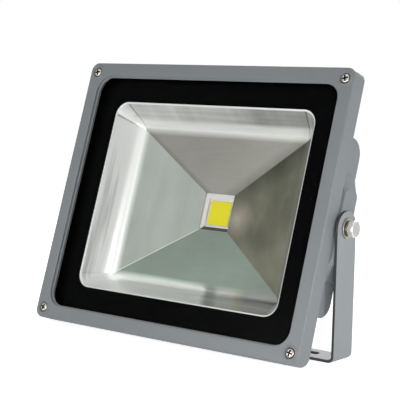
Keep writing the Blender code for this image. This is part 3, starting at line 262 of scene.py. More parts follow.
class Shading(Tree):
    """Shader tree of one material, with the pattern tools that the finishes share."""

    def __init__(self, material: bpy.types.Material) -> None:
        """Open the material's tree.

        Args:
            material: A new material, whose tree starts with a Principled shader.
        """
        material.use_nodes = True
        super().__init__(material.node_tree)
        self.shader = self.nodes.nodes["Principled BSDF"]

    def places(self, matrix: Matrix = BRACKET_MATRIX) -> Field:
        """Place on the piece in the millimetres of the lamp's or the bracket's axes."""
        where = self.add("ShaderNodeTexCoord", {}, "Object")
        return self.add("ShaderNodeMapping", {
            "Vector": where, "Location": matrix.to_translation(), "Rotation": matrix.to_euler(),
            "Scale": matrix.to_scale(),
        }, vector_type="TEXTURE")

    def marked(self, name: str, output: str = "Fac") -> Field:
        """What the piece's attribute of that name says."""
        return self.add("ShaderNodeAttribute", {}, output, attribute_name=name)

    def part(self, vector: Field, axis: str) -> Field:
        """One component of a vector."""
        return self.add("ShaderNodeSeparateXYZ", {"Vector": vector}, axis)

    def stretched(self, vector: Field, scale: Sequence[float]) -> Field:
        """A vector with each component multiplied."""
        return self.add("ShaderNodeVectorMath", {0: vector, 1: tuple(scale)}, operation="MULTIPLY")

    def noise(self, vector: Field, scale: float, detail: float = 2.0, roughness: float = 0.5) -> Field:
        """Soft random pattern, about 0.5 on average, with its scale in features per millimetre."""
        return self.add("ShaderNodeTexNoise", {
            "Vector": vector, "Scale": scale, "Detail": detail, "Roughness": roughness,
        }, noise_dimensions="3D")

    def scaled(self, vector: Field, share: Field) -> Field:
        """A vector or colour with every component multiplied by one number."""
        return self.add("ShaderNodeVectorMath", {0: vector, "Scale": share}, operation="SCALE")

    def blend(self, share: Field | float, first: Field | Colour, second: Field | Colour) -> Field:
        """Colour between two colours: the first where the share is 0, the second where it is 1."""
        return self.add("ShaderNodeMix", {0: share, 6: first, 7: second}, 2, data_type="RGBA")

    def bump(self, height: Field, depth: float, strength: float = 1.0) -> Field:
        """Normal of a surface with a fine relief, whose depth is in millimetres."""
        return self.add("ShaderNodeBump", {
            "Strength": strength, "Distance": depth * MM, "Height": height,
        })

    def set(self, **values: object) -> None:
        """Give the shader's sockets their values, by name with _ for a space."""
        for name, value in values.items():
            self.connect(self.shader.inputs[name.replace("_", " ")], value)


# Finishes
@dataclass(frozen=True)
class Finish:
    """A surface finish; each kind paints its own nodes."""

    name: str
    colour: Colour
    roughness: float

    def material(self) -> bpy.types.Material:
        """Make the finish's material, or find it if it is made.

        Returns:
            The material.
        """
        found = bpy.data.materials.get(self.name)
        if found is None:
            found = bpy.data.materials.new(self.name)
            self.paint(Shading(found))
        return found

    def paint(self, shading: Shading) -> None:
        """Set the shader's nodes."""
        raise NotImplementedError

    def varied(self, shading: Shading, pattern: Field, spread: float) -> Field:
        """The finish's colour, darker and lighter by a pattern.

        Args:
            shading: The material's tree.
            pattern: Pattern that is 0.5 on average.
            spread: How far the colour moves, as a share.

        Returns:
            The colour.
        """
        dark = tuple(level * (1 - spread) for level in self.colour)
        light = tuple(min(1.0, level * (1 + spread)) for level in self.colour)
        return shading.blend(pattern, dark, light)


@dataclass(frozen=True)
class PowderCoat(Finish):
    """Satin grey powder coat with a fine peel and a faint fleck, and painted shade where a cut edge is
    marked.
    """

    peel_size: float = 1.1
    peel_depth: float = 0.035
    edge_shade: float = 0.0
    cut_edge: str = "cut_edge"

    def paint(self, shading: Shading) -> None:
        """Mottle the colour a little and let the peel break the gloss.

        Args:
            shading: The material's tree.
        """
        place = shading.places()
        peel = shading.noise(place, 1 / self.peel_size, 3.0, 0.55)
        fleck = shading.noise(place, 4.5, 1.0)
        clouds = shading.noise(place, 0.035, 2.0)
        # Painted shade on the marked cut edges.
        edge = shading.marked(self.cut_edge)
        coat = self.varied(shading, fleck * 0.5 + clouds * 0.5, 0.09)
        shading.set(
            Base_Color=shading.scaled(coat, 1 - edge * self.edge_shade),
            Roughness=self.roughness + (peel - 0.5) * 0.16,
            Normal=shading.bump(peel + fleck * 0.3, self.peel_depth, 0.55),
            Specular_IOR_Level=0.42,
        )


@dataclass(frozen=True)
class PlatedSteel(Finish):
    """Bright zinc plate with faint turning marks, a warm tint in places and painted shade on the faces that a
    piece marks.
    """

    warm: Colour = (0.60, 0.55, 0.40)
    metal: float = 1.0
    shadow: Colour = (0.02, 0.018, 0.015)
    recess: str = "recess"

    def paint(self, shading: Shading) -> None:
        """Mix the warm tint in by patches, streak the gloss and paint shade on the marked recesses and faces.

        Args:
            shading: The material's tree.
        """
        place = shading.places()
        patches = shading.noise(place, 0.22, 2.0)
        grain = shading.noise(shading.stretched(place, (0.3, 5.0, 5.0)), 1.0, 2.0)
        # Painted shade: marked faces blend towards the dark shadow colour.
        depth = shading.marked(self.recess)
        plate = shading.blend(patches.over(0.56, 0.2) * 0.5, self.colour, self.warm)
        shading.set(
            Base_Color=shading.blend(depth, plate, self.shadow),
            Metallic=self.metal,
            Roughness=self.roughness + (grain - 0.5) * 0.14,
            Normal=shading.bump(grain, 0.012, 0.5),
        )


@dataclass(frozen=True)
class ReflectorSheet(Finish):
    """Pressed aluminium, satin on its panels, with painted reflections and highlights in its colour.

    Each side, bend and crease has its own painted brightness and hue, and the panel beside the emitter has
    painted warm light and the emitter's painted mirror image. The piece carries the way each face leans as an
    attribute; places are in lamp millimetres.
    """

    lean: str = "lean"
    bead_end: float = 10.4
    wall_end: float = 27.2
    bend_end: float = 34.9
    foot_half_width: float = 89.2
    foot_half_height: float = 67.2
    neck_half_width: float = 15.85
    neck_half_height: float = 16.75
    neck_depth: float = 48.0
    mirror_slant: float = 0.75
    image_across: float = 67.0
    image_reach: float = 9.0

    def paint(self, shading: Shading) -> None:
        """Paint each zone's reflected light and shade into the colour, streak the panels, walls and bends,
        and paint what mirrors the emitter.

        Args:
            shading: The material's tree.
        """
        place = shading.places(LAMP.matrix)
        across, depth, up = (shading.part(place, axis) for axis in "XYZ")
        sides = self.sides(shading)
        panel = depth.over(self.bend_end - 0.4, 2.0)
        wall = 1 - depth.over(self.wall_end, 3.6)
        bend = (1 - panel - wall).clamped()
        grain = shading.noise(shading.stretched(place, (0.015, 0.32, 0.015)), 1.0, 1.0, 0.5)
        fine = shading.noise(shading.stretched(place, (0.05, 3.0, 0.05)), 1.0, 2.0, 0.6)
        clouds = shading.noise(place, 0.022, 3.0, 0.55)
        slid = across + (depth - self.bead_end) * self.mirror_slant
        # Painted reflections: each zone's brightness stands in for the light and shade it mirrors; streaks
        # and clouds are the sheet's own.
        painted_sheen = (self.painted_panel_sheen(across, depth, up, clouds, grain),
                    self.painted_wall_sheen(shading, across, slid, depth, up, grain), self.painted_bend_highlights(slid, grain))
        level = sum(sides.mix(tones) * share for tones, share in zip(painted_sheen, (panel, wall, bend)))
        # Painted highlight along the crease where the left and bottom panels meet.
        level = level + sides.left * sides.bottom * panel * 0.8
        # Painted shade along the corner fold lines and a painted highlight on the folds.
        line = sides.fold_line * (1 - panel) * (1 - (up * -1).over(10.0, 20.0) * 0.9)
        level = level * (1 - line * 0.24) + sides.fold * (1 - panel) * 0.05
        # Painted highlight along the rolled bead.
        bead = 1 - depth.over(self.bead_end, 0.5)
        level = level * (1 - bead) + bead
        level = (level + (fine - 0.5) * 0.04).maths("MAXIMUM", 0.02) ** GAMMA
        level = (level * (1.45 - panel * 0.4)).clamped()
        painted_glow = self.painted_glow(across, up)
        # Painted hue of what each side mirrors, and a warmer painted hue where warm light is painted on the
        # right panel.
        tint = shading.blend(panel, (0.985, 1.0, 0.975), (0.95, 1.0, 0.94))
        for side, hue in ((sides.left, (0.93, 1.0, 0.93)), (sides.bottom, (0.82, 1.0, 0.86)),
                          (sides.top, (1.02, 1.0, 0.90)), (sides.right, (0.98, 1.0, 0.74)),
                          (sides.right * painted_glow, (1.12, 1.0, 0.84))):
            tint = shading.blend(panel * side, tint, hue)
        # Painted reflection of the emitter on the bottom wall and bend.
        image = (1 - abs(slid - self.image_across) * (1 / self.image_reach)).clamped()
        image = image * sides.bottom * (1 - panel)
        tint = shading.blend(image * grain.over(0.5, 0.4) * 0.9, tint, (1.0, 0.90, 0.50))
        shading.set(
            Base_Color=shading.scaled(tint, level),
            Metallic=panel * 0.35 + bend * (sides.bottom * 0.5 + sides.left * 0.35) + 0.15,
            Roughness=self.roughness + panel * 0.25 + (grain - 0.5) * 0.1,
            Specular_IOR_Level=0.3,
        )

    def sides(self, shading: Shading) -> "Sides":
        """Tell which of the four sides a point lies on, by the way it leans.

        Args:
            shading: The material's tree.

        Returns:
            The shares of the sides.
        """
        lean = shading.marked(self.lean, "Vector")
        faces_right, faces_up = shading.part(lean, "X"), shading.part(lean, "Z")
        facings = (faces_right, faces_right * -1, faces_up * -1, faces_up)
        shares = [facing.over(0.62, 0.5) for facing in facings]
        both = abs(faces_right * faces_up) * 2
        fold = both.over(0.45, 0.2)
        return Sides(*shares, fold, both.over(0.12, 0.1) * (1 - fold))

    def painted_glow(self, across: Field, up: Field) -> Field:
        """Painted warm light on the panel beside the emitter."""
        out_x, out_z = (across - 25.0) * (1 / 20.0), (up + 4.0) * (1 / 17.0)
        return (1.1 - (out_x * out_x + out_z * out_z) ** 0.5).clamped()

    def painted_panel_sheen(self, across: Field, depth: Field, up: Field, clouds: Field,
                    grain: Field) -> Sequence[Field]:
        """Paint the reflected light and shade of the four flat panels.

        Args:
            across: Place to the right of the middle.
            depth: Place behind the lamp's face.
            up: Place over the middle.
            clouds: Broad pattern.
            grain: Streaks.

        Returns:
            Painted brightness at the left, right, top and bottom, as a screen shows it.
        """
        share = ((depth - self.bend_end) * (1 / (self.neck_depth - self.bend_end))).clamped()
        half_width = self.foot_half_width - share * (self.foot_half_width - self.neck_half_width)
        half_height = self.foot_half_height - share * (self.foot_half_height - self.neck_half_height)
        to_side, to_top = half_width - abs(across), half_height - abs(up)
        # Painted shade: the top panel darker near its left and right ends, the right panel darker near its
        # top and lighter low down.
        at_right, above = across.over(0.0, 4.0), up.over(0.0, 4.0)
        shaded = (1 - to_side * (1 / 17.0)).clamped() * at_right
        shaded = shaded + (1 - to_side * (1 / 9.0)).clamped() * (1 - at_right)
        upper = (1 - to_top * (1 / 24.0)).clamped() * above
        low = (up * -1).over(28.0, 45.0)
        return (
            0.650 + up * 0.0005 + (grain - 0.5) * 0.10 + (clouds - 0.5) * 0.06,
            0.440 + low * 0.05 - upper * 0.11 + self.painted_glow(across, up) * 0.17 + (clouds - 0.5) * 0.30,
            0.545 + across.over(45.0, 60.0) * 0.04 - shaded * 0.09 + (clouds - 0.5) * 0.08,
            0.605 + (clouds - 0.5) * 0.10,
        )

    def painted_wall_sheen(self, shading: Shading, across: Field, slid: Field, depth: Field, up: Field,
                   grain: Field) -> Sequence[Field]:
        """Paint the reflected light and shade of the four steep walls.

        Args:
            shading: The material's tree.
            across: Place to the right of the middle.
            slid: The same along the slant of the mirrored bands.
            depth: Place behind the lamp's face.
            up: Place over the middle.
            grain: Streaks.

        Returns:
            Painted brightness at the left, right, top and bottom.
        """
        along = shading.stretched(shading.vector(across, 0.0, 0.0), (0.05, 1.0, 1.0))
        patches = shading.noise(along, 1.0, 2.0)
        return (
            0.78 + up * 0.0009 + depth.over(21.0, 8.0) * 0.05 + (grain - 0.5) * 0.32,
            0.50 + (grain - 0.5) * 0.30,
            0.71 - across.over(28.0, 30.0) * 0.12 + (grain - 0.5) * 0.14 + (patches - 0.5) * 0.20,
            0.92 - slid.over(-20.0, 70.0) * 0.10 - slid.over(33.0, 7.0) * 0.27 + slid.over(45.0, 6.0) * 0.12
            - slid.over(70.0, 14.0) * 0.10 + (grain - 0.5) * 0.30 + (patches - 0.5) * 0.06,
        )

    def painted_bend_highlights(self, slid: Field, grain: Field) -> Sequence[Field]:
        """Painted highlight bands on the bends at the left, right, top and bottom, as brightness."""
        return (
            1.00 + (grain - 0.5) * 0.05,
            0.42 + (grain - 0.5) * 0.20,
            0.82 + (grain - 0.5) * 0.10,
            1.00 - slid.over(-30.0, 60.0) * 0.08 - slid.over(33.0, 7.0) * 0.38 + slid.over(45.0, 6.0) * 0.18
            - slid.over(70.0, 14.0) * 0.18 + (grain - 0.5) * 0.40,
        )


@dataclass(frozen=True)
class Sides:
    """Shares of the reflector's four sides at a point, and of a corner's fold and its line."""

    left: Field
    right: Field
    top: Field
    bottom: Field
    fold: Field
    fold_line: Field

    def mix(self, values: Sequence[Field]) -> Field:
        """Average one value for each side, weighed by the shares.

        Args:
            values: The values at the left, right, top and bottom.

        Returns:
            The average.
        """
        shares = (self.left, self.right, self.top, self.bottom)
        whole = (self.left + self.right + self.top + self.bottom).maths("MAXIMUM", 0.05)
        return sum(value * share for value, share in zip(values, shares)) / whole


@dataclass(frozen=True)
class WindowGlass(Finish):
    """Clear toughened glass, which shows by its gloss near grazing angles."""

    def paint(self, shading: Shading) -> None:
        """Let the gloss grow with the angle and keep the rest clear.

        Args:
            shading: The material's tree.
        """
        gloss = shading.add("ShaderNodeFresnel", {"IOR": 1.18})
        smear = shading.noise(shading.places(LAMP.matrix), 0.02, 2.0)
        shading.set(
            Base_Color=self.varied(shading, smear, 0.1),
            Roughness=self.roughness + smear * 0.02,
            Alpha=(gloss * 0.35 + 0.003).clamped(),
            Specular_IOR_Level=0.3,
        )


@dataclass(frozen=True)
class BorderPrint(Finish):
    """Fired black ink on the pane's rear face."""

    def paint(self, shading: Shading) -> None:
        """Vary the gloss with the ink's screen grain."""
        grain = shading.noise(shading.places(LAMP.matrix), 0.9, 2.0)
        shading.set(
            Base_Color=self.varied(shading, grain, 0.3),
            Roughness=self.roughness + (grain - 0.5) * 0.1,
            Specular_IOR_Level=0.02,
        )


@dataclass(frozen=True)
class Phosphor(Finish):
    """Yellow silicone over rows of chips, which show through as faint upright bands."""

    pale: Colour = (0.96, 0.92, 0.14)
    rim_colour: Colour = (0.52, 0.50, 0.36)
    band_pitch: float = 2.4
    half_width: float = 12.2
    half_height: float = 11.7

    def paint(self, shading: Shading) -> None:
        """Band the gel over the chip rows and let it go paler towards its rim.

        Args:
            shading: The material's tree.
        """
        place = shading.places(LAMP.matrix)
        across = shading.part(place, "X")
        up = shading.part(place, "Z")
        wobble = shading.noise(place, 0.5, 2.0)
        wave = ((across + wobble * 1.2) * (2 * math.pi / self.band_pitch)).maths("SINE") * 0.5 + 0.5
        edge = (abs(across) - self.half_width).maths("MAXIMUM", abs(up) - self.half_height)
        rim = edge.over(-1.1, 1.4)
        banded = shading.blend(wave * 0.30 + wobble * 0.2, self.colour, self.pale)
        shading.set(
            Base_Color=shading.blend(rim * 0.7, banded, self.rim_colour),
            Roughness=self.roughness + wobble * 0.12,
            Normal=shading.bump(wave * 0.5 + wobble * 0.5, 0.05, 0.4),
            Specular_IOR_Level=0.15,
        )


@dataclass(frozen=True)
class MouldedPolymer(Finish):
    """Moulded nylon, silicone or rubber with a fine matt grain."""

    grain_size: float = 0.8
    gloss: float = 0.4

    def paint(self, shading: Shading) -> None:
        """Add the mould's grain to colour, gloss and relief."""
        grain = shading.noise(shading.places(), 1 / self.grain_size, 3.0, 0.6)
        shading.set(
            Base_Color=self.varied(shading, grain, 0.12),
            Roughness=self.roughness + (grain - 0.5) * 0.15,
            Normal=shading.bump(grain, 0.02, 0.4),
            Specular_IOR_Level=self.gloss,
        )


@dataclass(frozen=True)
class NeckWalls(Finish):
    """Glossy white walls round the emitter: bright at the sides, with painted shade on the upper one and a
    painted dark reflection of the border on the lower one.
    """

    lean: str = "lean"
    shadow: Colour = (0.07, 0.07, 0.06)

    def paint(self, shading: Shading) -> None:
        """Paint shade on what faces down and a dark reflection on what faces up, and add the moulding's
        grain.

        Args:
            shading: The material's tree.
        """
        lean = shading.marked(self.lean, "Vector")
        grain = shading.noise(shading.places(LAMP.matrix), 0.9, 2.0)
        # Painted shade on the upper wall and a painted dark reflection on the lower one, by the way each face
        # leans.
        faces_down = shading.part(lean, "Z") * -1
        shaded_white = tuple(0.8 * level for level in self.colour)
        bright = shading.blend(faces_down.over(0.6, 0.4) * 0.5, self.colour, shaded_white)
        shading.set(
            Base_Color=shading.blend((faces_down * -1).over(0.6, 0.4), bright, self.shadow),
            Roughness=self.roughness + (grain - 0.5) * 0.1,
            Normal=shading.bump(grain, 0.02, 0.3),
        )


@dataclass(frozen=True)
class StampedMetal(Finish):
    """Rolled sheet metal of the inner pieces, with straight mill streaks."""

    def paint(self, shading: Shading) -> None:
        """Streak the colour and the gloss along the sheet."""
        streaks = shading.noise(shading.stretched(shading.places(), (0.08, 2.5, 2.5)), 1.0, 3.0)
        shading.set(
            Base_Color=self.varied(shading, streaks, 0.08),
            Metallic=1.0,
            Roughness=self.roughness + (streaks - 0.5) * 0.2,
        )


CAST_COAT = PowderCoat("cast_powder_coat", screen_colour(134, 139, 142), 0.4)
# The sheet coat paints shade on the bracket's marked cut edges.
SHEET_COAT = PowderCoat("sheet_powder_coat", screen_colour(153, 158, 161), 0.5, 1.3, 0.03, 0.8)
ZINC = PlatedSteel("zinc_plate", (0.52, 0.51, 0.48), 0.22)
BRIGHT_ZINC = PlatedSteel("bright_zinc_plate", (0.80, 0.80, 0.77), 0.22, (0.68, 0.66, 0.56), 0.45)
DULL_ZINC = PlatedSteel("dull_zinc_plate", (0.38, 0.37, 0.33), 0.34, (0.30, 0.27, 0.19))
DARK_STEEL = PlatedSteel("oiled_spring_steel", (0.22, 0.20, 0.16), 0.3, (0.30, 0.25, 0.14))
POLISHED_SHEET = ReflectorSheet("satin_aluminium", (0.93, 0.95, 0.92), 0.3)
PANE = WindowGlass("toughened_glass", (0.02, 0.03, 0.026), 0.03)
INK = BorderPrint("black_ink", (0.0008, 0.0008, 0.0011), 0.35)
GEL = Phosphor("phosphor_gel", screen_colour(255, 242, 14), 0.42)
NECK_WALLS = NeckWalls("white_neck_walls", (0.98, 0.98, 0.97), 0.3)
CLEAR_GEL = MouldedPolymer("clear_rim_gel", (0.98, 0.97, 0.90), 0.2, 1.0, 0.6)
BLACK_NYLON = MouldedPolymer("black_nylon", (0.018, 0.018, 0.02), 0.42)
BLACK_RUBBER = MouldedPolymer("black_rubber", (0.02, 0.02, 0.02), 0.75, 0.5, 0.25)
GREY_SILICONE = MouldedPolymer("grey_silicone", (0.42, 0.42, 0.41), 0.6, 1.0, 0.3)
RED_JACKET = MouldedPolymer("red_insulation", (0.52, 0.025, 0.018), 0.35)
BLACK_JACKET = MouldedPolymer("black_insulation", (0.015, 0.015, 0.016), 0.35)
CASE_METAL = StampedMetal("driver_sheet", (0.68, 0.69, 0.70), 0.38)
BASE_METAL = StampedMetal("emitter_base_metal", (0.80, 0.80, 0.76), 0.34)


# Mesh tools
def corner_points(half_width: float, half_height: float, radius: float,
                  steps: int) -> list[tuple[float, float]]:
    """Outline of a rectangle with round corners.

    Args:
        half_width: Half of its width.
        half_height: Half of its height.
        radius: Radius of its corners.
        steps: Steps in each corner.

    Returns:
        Its points, anticlockwise from the middle of the right side.
    """
    points = []
    for quarter, (across, up) in enumerate(((1, 1), (-1, 1), (-1, -1), (1, -1))):
        for step in range(steps + 1):
            angle = math.radians(90 * (quarter + step / steps))
            points.append((across * (half_width - radius) + radius * math.cos(angle),
                           up * (half_height - radius) + radius * math.sin(angle)))
    return points


def rounding(radius: float, steps: int = 6) -> list[tuple[float, float]]:
    """Quarter round as (distance in from the side, distance down from the face), side first."""
    angles = [math.radians(90 * step / steps) for step in range(steps + 1)]
    return [(radius * (1 - math.cos(angle)), radius * (1 - math.sin(angle))) for angle in angles]


def in_lamp(across: float, up: float, depth: float) -> Vector:
    """Section point of a loft that runs from front to back."""
    return Vector((across, depth, up))


def on_side(across: float, up: float, depth: float) -> Vector:
    """Section point of a loft that runs sideways."""
    return Vector((depth, across, up))


def on_base(across: float, up: float, depth: float) -> Vector:
    """Section point of a loft that runs upwards."""
    return Vector((across, up, depth))


class Shaping(Enum):
    """What a tool does to a piece."""

    JOIN = "UNION"
    CUT = "DIFFERENCE"
    TRIM = "INTERSECT"


class Draft:
    """Mesh under way, in millimetres."""

    def __init__(self) -> None:
        """Start empty."""
        self.mesh = bmesh.new()

    def loft(self, stations: Iterable[Station], ring: bool = False, steps: int = 14,
             lay: Callable[[float, float, float], Vector] = in_lamp,
             centre: tuple[float, float] = (0.0, 0.0)) -> "Draft":
        """Skin through rounded rectangles.

        Args:
            stations: Half width, half height, corner radius and depth of each.
            ring: Whether the last joins the first, instead of both being capped.
            steps: Steps in each corner.
            lay: Where a section point lies.
            centre: Middle of the sections.

        Returns:
            This draft.
        """
        loops = []
        for half_width, half_height, radius, depth in stations:
            outline = corner_points(half_width, half_height, radius, steps)
            loops.append([self.mesh.verts.new(lay(across + centre[0], up + centre[1], depth))
                          for across, up in outline])
        pairs = list(zip(loops, loops[1:]))
        if ring:
            pairs.append((loops[-1], loops[0]))
        else:
            self.mesh.faces.new(loops[0])
            self.mesh.faces.new(loops[-1])
        for first, second in pairs:
            self.skin(first, second)
        return self

    def skin(self, first: Sequence[bmesh.types.BMVert], second: Sequence[bmesh.types.BMVert]) -> None:
        """Join two closed rows of points by a band of faces."""
        for corners in zip(first, [*first[1:], first[0]], [*second[1:], second[0]], second):
            self.mesh.faces.new(corners)

    def rod(self, radius: float, start: float, end: float, place: Matrix, steps: int = 40) -> "Draft":
        """Turn a plain cylinder between two heights of the place's axis."""
        return self.turned([(0, start), (radius, start), (radius, end), (0, end)], place, steps)

    def turned(self, profile: Profile, place: Matrix, steps: int = 64, ring: bool = False) -> "Draft":
        """Turn a profile about the place's own axis.

        Args:
            profile: (radius, height) points; a solid's first and last lie on the axis.
            place: Where the axis stands.
            steps: Steps round the axis.
            ring: Whether the profile is closed on itself.

        Returns:
            This draft.
        """
        columns: list[list[bmesh.types.BMVert]] = []
        for step in range(steps):
            angle = 2 * math.pi * step / steps
            column = []
            for index, (radius, height) in enumerate(profile):
                if radius == 0 and columns:
                    column.append(columns[0][index])
                else:
                    point = Vector((radius * math.cos(angle), radius * math.sin(angle), height))
                    column.append(self.mesh.verts.new(place @ point))
            columns.append(column)
        last = len(profile) if ring else len(profile) - 1
        for here, there in zip(columns, columns[1:] + columns[:1]):
            for index in range(last):
                following = (index + 1) % len(profile)
                corners = [here[index], there[index], there[following], here[following]]
                self.mesh.faces.new(list(dict.fromkeys(corners)))
        return self

    def prism(self, outline: Profile, start: float, end: float,
              lay: Callable[[float, float, float], Vector]) -> "Draft":
        """Stretch a closed outline between two depths.

        Args:
            outline: Its points.
            start: Depth of one end.
            end: Depth of the other.
            lay: Where a section point lies.

        Returns:
            This draft.
        """
        loops = [[self.mesh.verts.new(lay(across, up, depth)) for across, up in outline]
                 for depth in (start, end)]
        for loop in loops:
            self.mesh.faces.new(loop)
        self.skin(*loops)
        return self

    def done(self, name: str, matrix: Matrix = LAMP.matrix) -> Piece:
        """Close the draft as an object whose place is in its mesh.

        Args:
            name: The object's name.
            matrix: Millimetres of the draft's axes to world metres.

        Returns:
            The object.
        """
        bmesh.ops.transform(self.mesh, matrix=matrix, verts=self.mesh.verts)
        bmesh.ops.recalc_face_normals(self.mesh, faces=self.mesh.faces)
        mesh = bpy.data.meshes.new(name)
        self.mesh.to_mesh(mesh)
        self.mesh.free()
        thing = bpy.data.objects.new(name, mesh)
        bpy.context.scene.collection.objects.link(thing)
        return thing


def settle(thing: Piece) -> Piece:
    """Apply an object's modifiers to its mesh.

    Args:
        thing: The object.

    Returns:
        The same object, with a plain mesh.
    """
    graph = bpy.context.evaluated_depsgraph_get()
    result = bpy.data.meshes.new_from_object(thing.evaluated_get(graph))
    thing.modifiers.clear()
    thing.data = result
    return thing


def combine(target: Piece, tool: Piece, shaping: Shaping) -> None:
    """Shape an object with a tool, and remove the tool.

    Args:
        target: The object that is changed.
        tool: The other shape.
        shaping: What the tool does.
    """
    modifier = target.modifiers.new("Combine", "BOOLEAN")
    modifier.operation = shaping.value
    modifier.solver = "EXACT"
    modifier.object = tool
    settle(target)
    bpy.data.objects.remove(tool)


def soften(thing: Piece, width: float, segments: int = 2, angle: float = 35.0) -> Piece:
    """Round an object's sharp edges.

    Args:
        thing: The object.
        width: Width of the rounding in millimetres.
        segments: Flats in the rounding.
        angle: Edges sharper than this many degrees are rounded.

    Returns:
        The object.
    """
    weld = thing.modifiers.new("Weld", "WELD")
    weld.merge_threshold = 0.00001
    bevel = thing.modifiers.new("Bevel", "BEVEL")
    bevel.width = width * MM
    bevel.segments = segments
    bevel.limit_method = "ANGLE"
    bevel.angle_limit = math.radians(angle)
    return settle(thing)


def shade(thing: Piece, angle: float = 40.0) -> Piece:
    """Shade smoothly between edges, with flat faces kept flat.

    Args:
        thing: The object.
        angle: Edges sharper than this many degrees stay sharp.

    Returns:
        The object.
    """
    thing.data.shade_smooth()
    thing.data.set_sharp_from_angle(angle=math.radians(angle))
    weighted = thing.modifiers.new("Weighted", "WEIGHTED_NORMAL")
    weighted.keep_sharp = True
    return settle(thing)


def mark_lean(thing: Piece, name: str) -> None:
    """Write which side each face leans to, in lamp axes.

    Args:
        thing: The piece.
        name: Name of the attribute that its finish reads.
    """
    turn = LAMP.matrix.inverted().to_3x3().normalized()
    leans = thing.data.attributes.new(name, "FLOAT_VECTOR", "FACE")
    for face in thing.data.polygons:
        facing = turn @ face.normal
        level = math.hypot(facing.x, facing.z)
        share = min(1.0, level / 0.1) / max(0.001, level)
        leans.data[face.index].vector = (facing.x * share, 0.0, facing.z * share)


def dress(thing: Piece, finish: Finish, body: str,
          stands_for: Sequence[str] = ()) -> None:
    """Give a finished piece its material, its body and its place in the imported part.

    Args:
        thing: The piece.
        finish: Its finish.
        body: The body that carries it.
        stands_for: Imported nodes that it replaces.
    """
    thing.data.materials.clear()
    thing.data.materials.append(finish.material())
    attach(thing, body)
    if stands_for:
        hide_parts(*stands_for)
    log.info("%s: %d faces on %s", thing.name, len(thing.data.polygons), body)


# Geometry node tools
class Maker(Tree):
    """Geometry node tree with named inputs, run once into a plain mesh."""

    def __init__(self, name: str) -> None:
        """Open an empty tree.

        Args:
            name: Name of the tree and of the piece that it makes.
        """
        super().__init__(bpy.data.node_groups.new(name, "GeometryNodeTree"))
        self.name = name
        self.values: dict[str, object] = {}
        self.entry = self.nodes.nodes.new("NodeGroupInput")

    def size(self, name: str, value: float | int, kind: str = "NodeSocketFloat") -> Field:
        """Add a named input.

        Args:
            name: What the input is called.
            value: What it is set to.
            kind: Type of its socket.

        Returns:
            The input as a field.
        """
        socket = self.nodes.interface.new_socket(name=name, in_out="INPUT", socket_type=kind)
        self.values[socket.identifier] = value
        return Field(self, next(out for out in self.entry.outputs if out.identifier == socket.identifier))

    def position(self) -> list[Field]:
        """The three coordinates of each point of a geometry."""
        place = self.add("GeometryNodeInputPosition", {})
        return [Field(self, part) for part in self.place("ShaderNodeSeparateXYZ", {0: place}).outputs]

    def moved(self, shape: Field, place: object, turn: object = Vector((0.0, 0.0, 0.0))) -> Field:
        """A shape turned and then moved."""
        sockets = {"Geometry": shape, "Translation": place, "Rotation": turn}
        return self.add("GeometryNodeTransform", sockets)

    def run(self, shape: Field, matrix: Matrix, finish: Finish) -> Piece:
        """Place the shape, end the tree and make its plain object.

        Args:
            shape: The geometry.
            matrix: Millimetres of its axes to world metres.
            finish: The finish that the tree sets.

        Returns:
            An object with a plain mesh.
        """
        moved = self.add("GeometryNodeTransform", {
            "Geometry": shape, "Translation": matrix.to_translation(), "Rotation": matrix.to_euler(),
            "Scale": matrix.to_scale(),
        })
        real = self.add("GeometryNodeRealizeInstances", {"Geometry": moved})
        painted = self.add("GeometryNodeSetMaterial", {"Geometry": real, "Material": finish.material()})
        self.nodes.interface.new_socket(name="Geometry", in_out="OUTPUT", socket_type="NodeSocketGeometry")
        self.place("NodeGroupOutput", {0: painted})
        thing = bpy.data.objects.new(self.name, bpy.data.meshes.new(self.name))
        modifier = thing.modifiers.new("Maker", "NODES")
        modifier.node_group = self.nodes
        for identifier, value in self.values.items():
            modifier[identifier] = value
        bpy.context.scene.collection.objects.link(thing)
        return settle(thing)


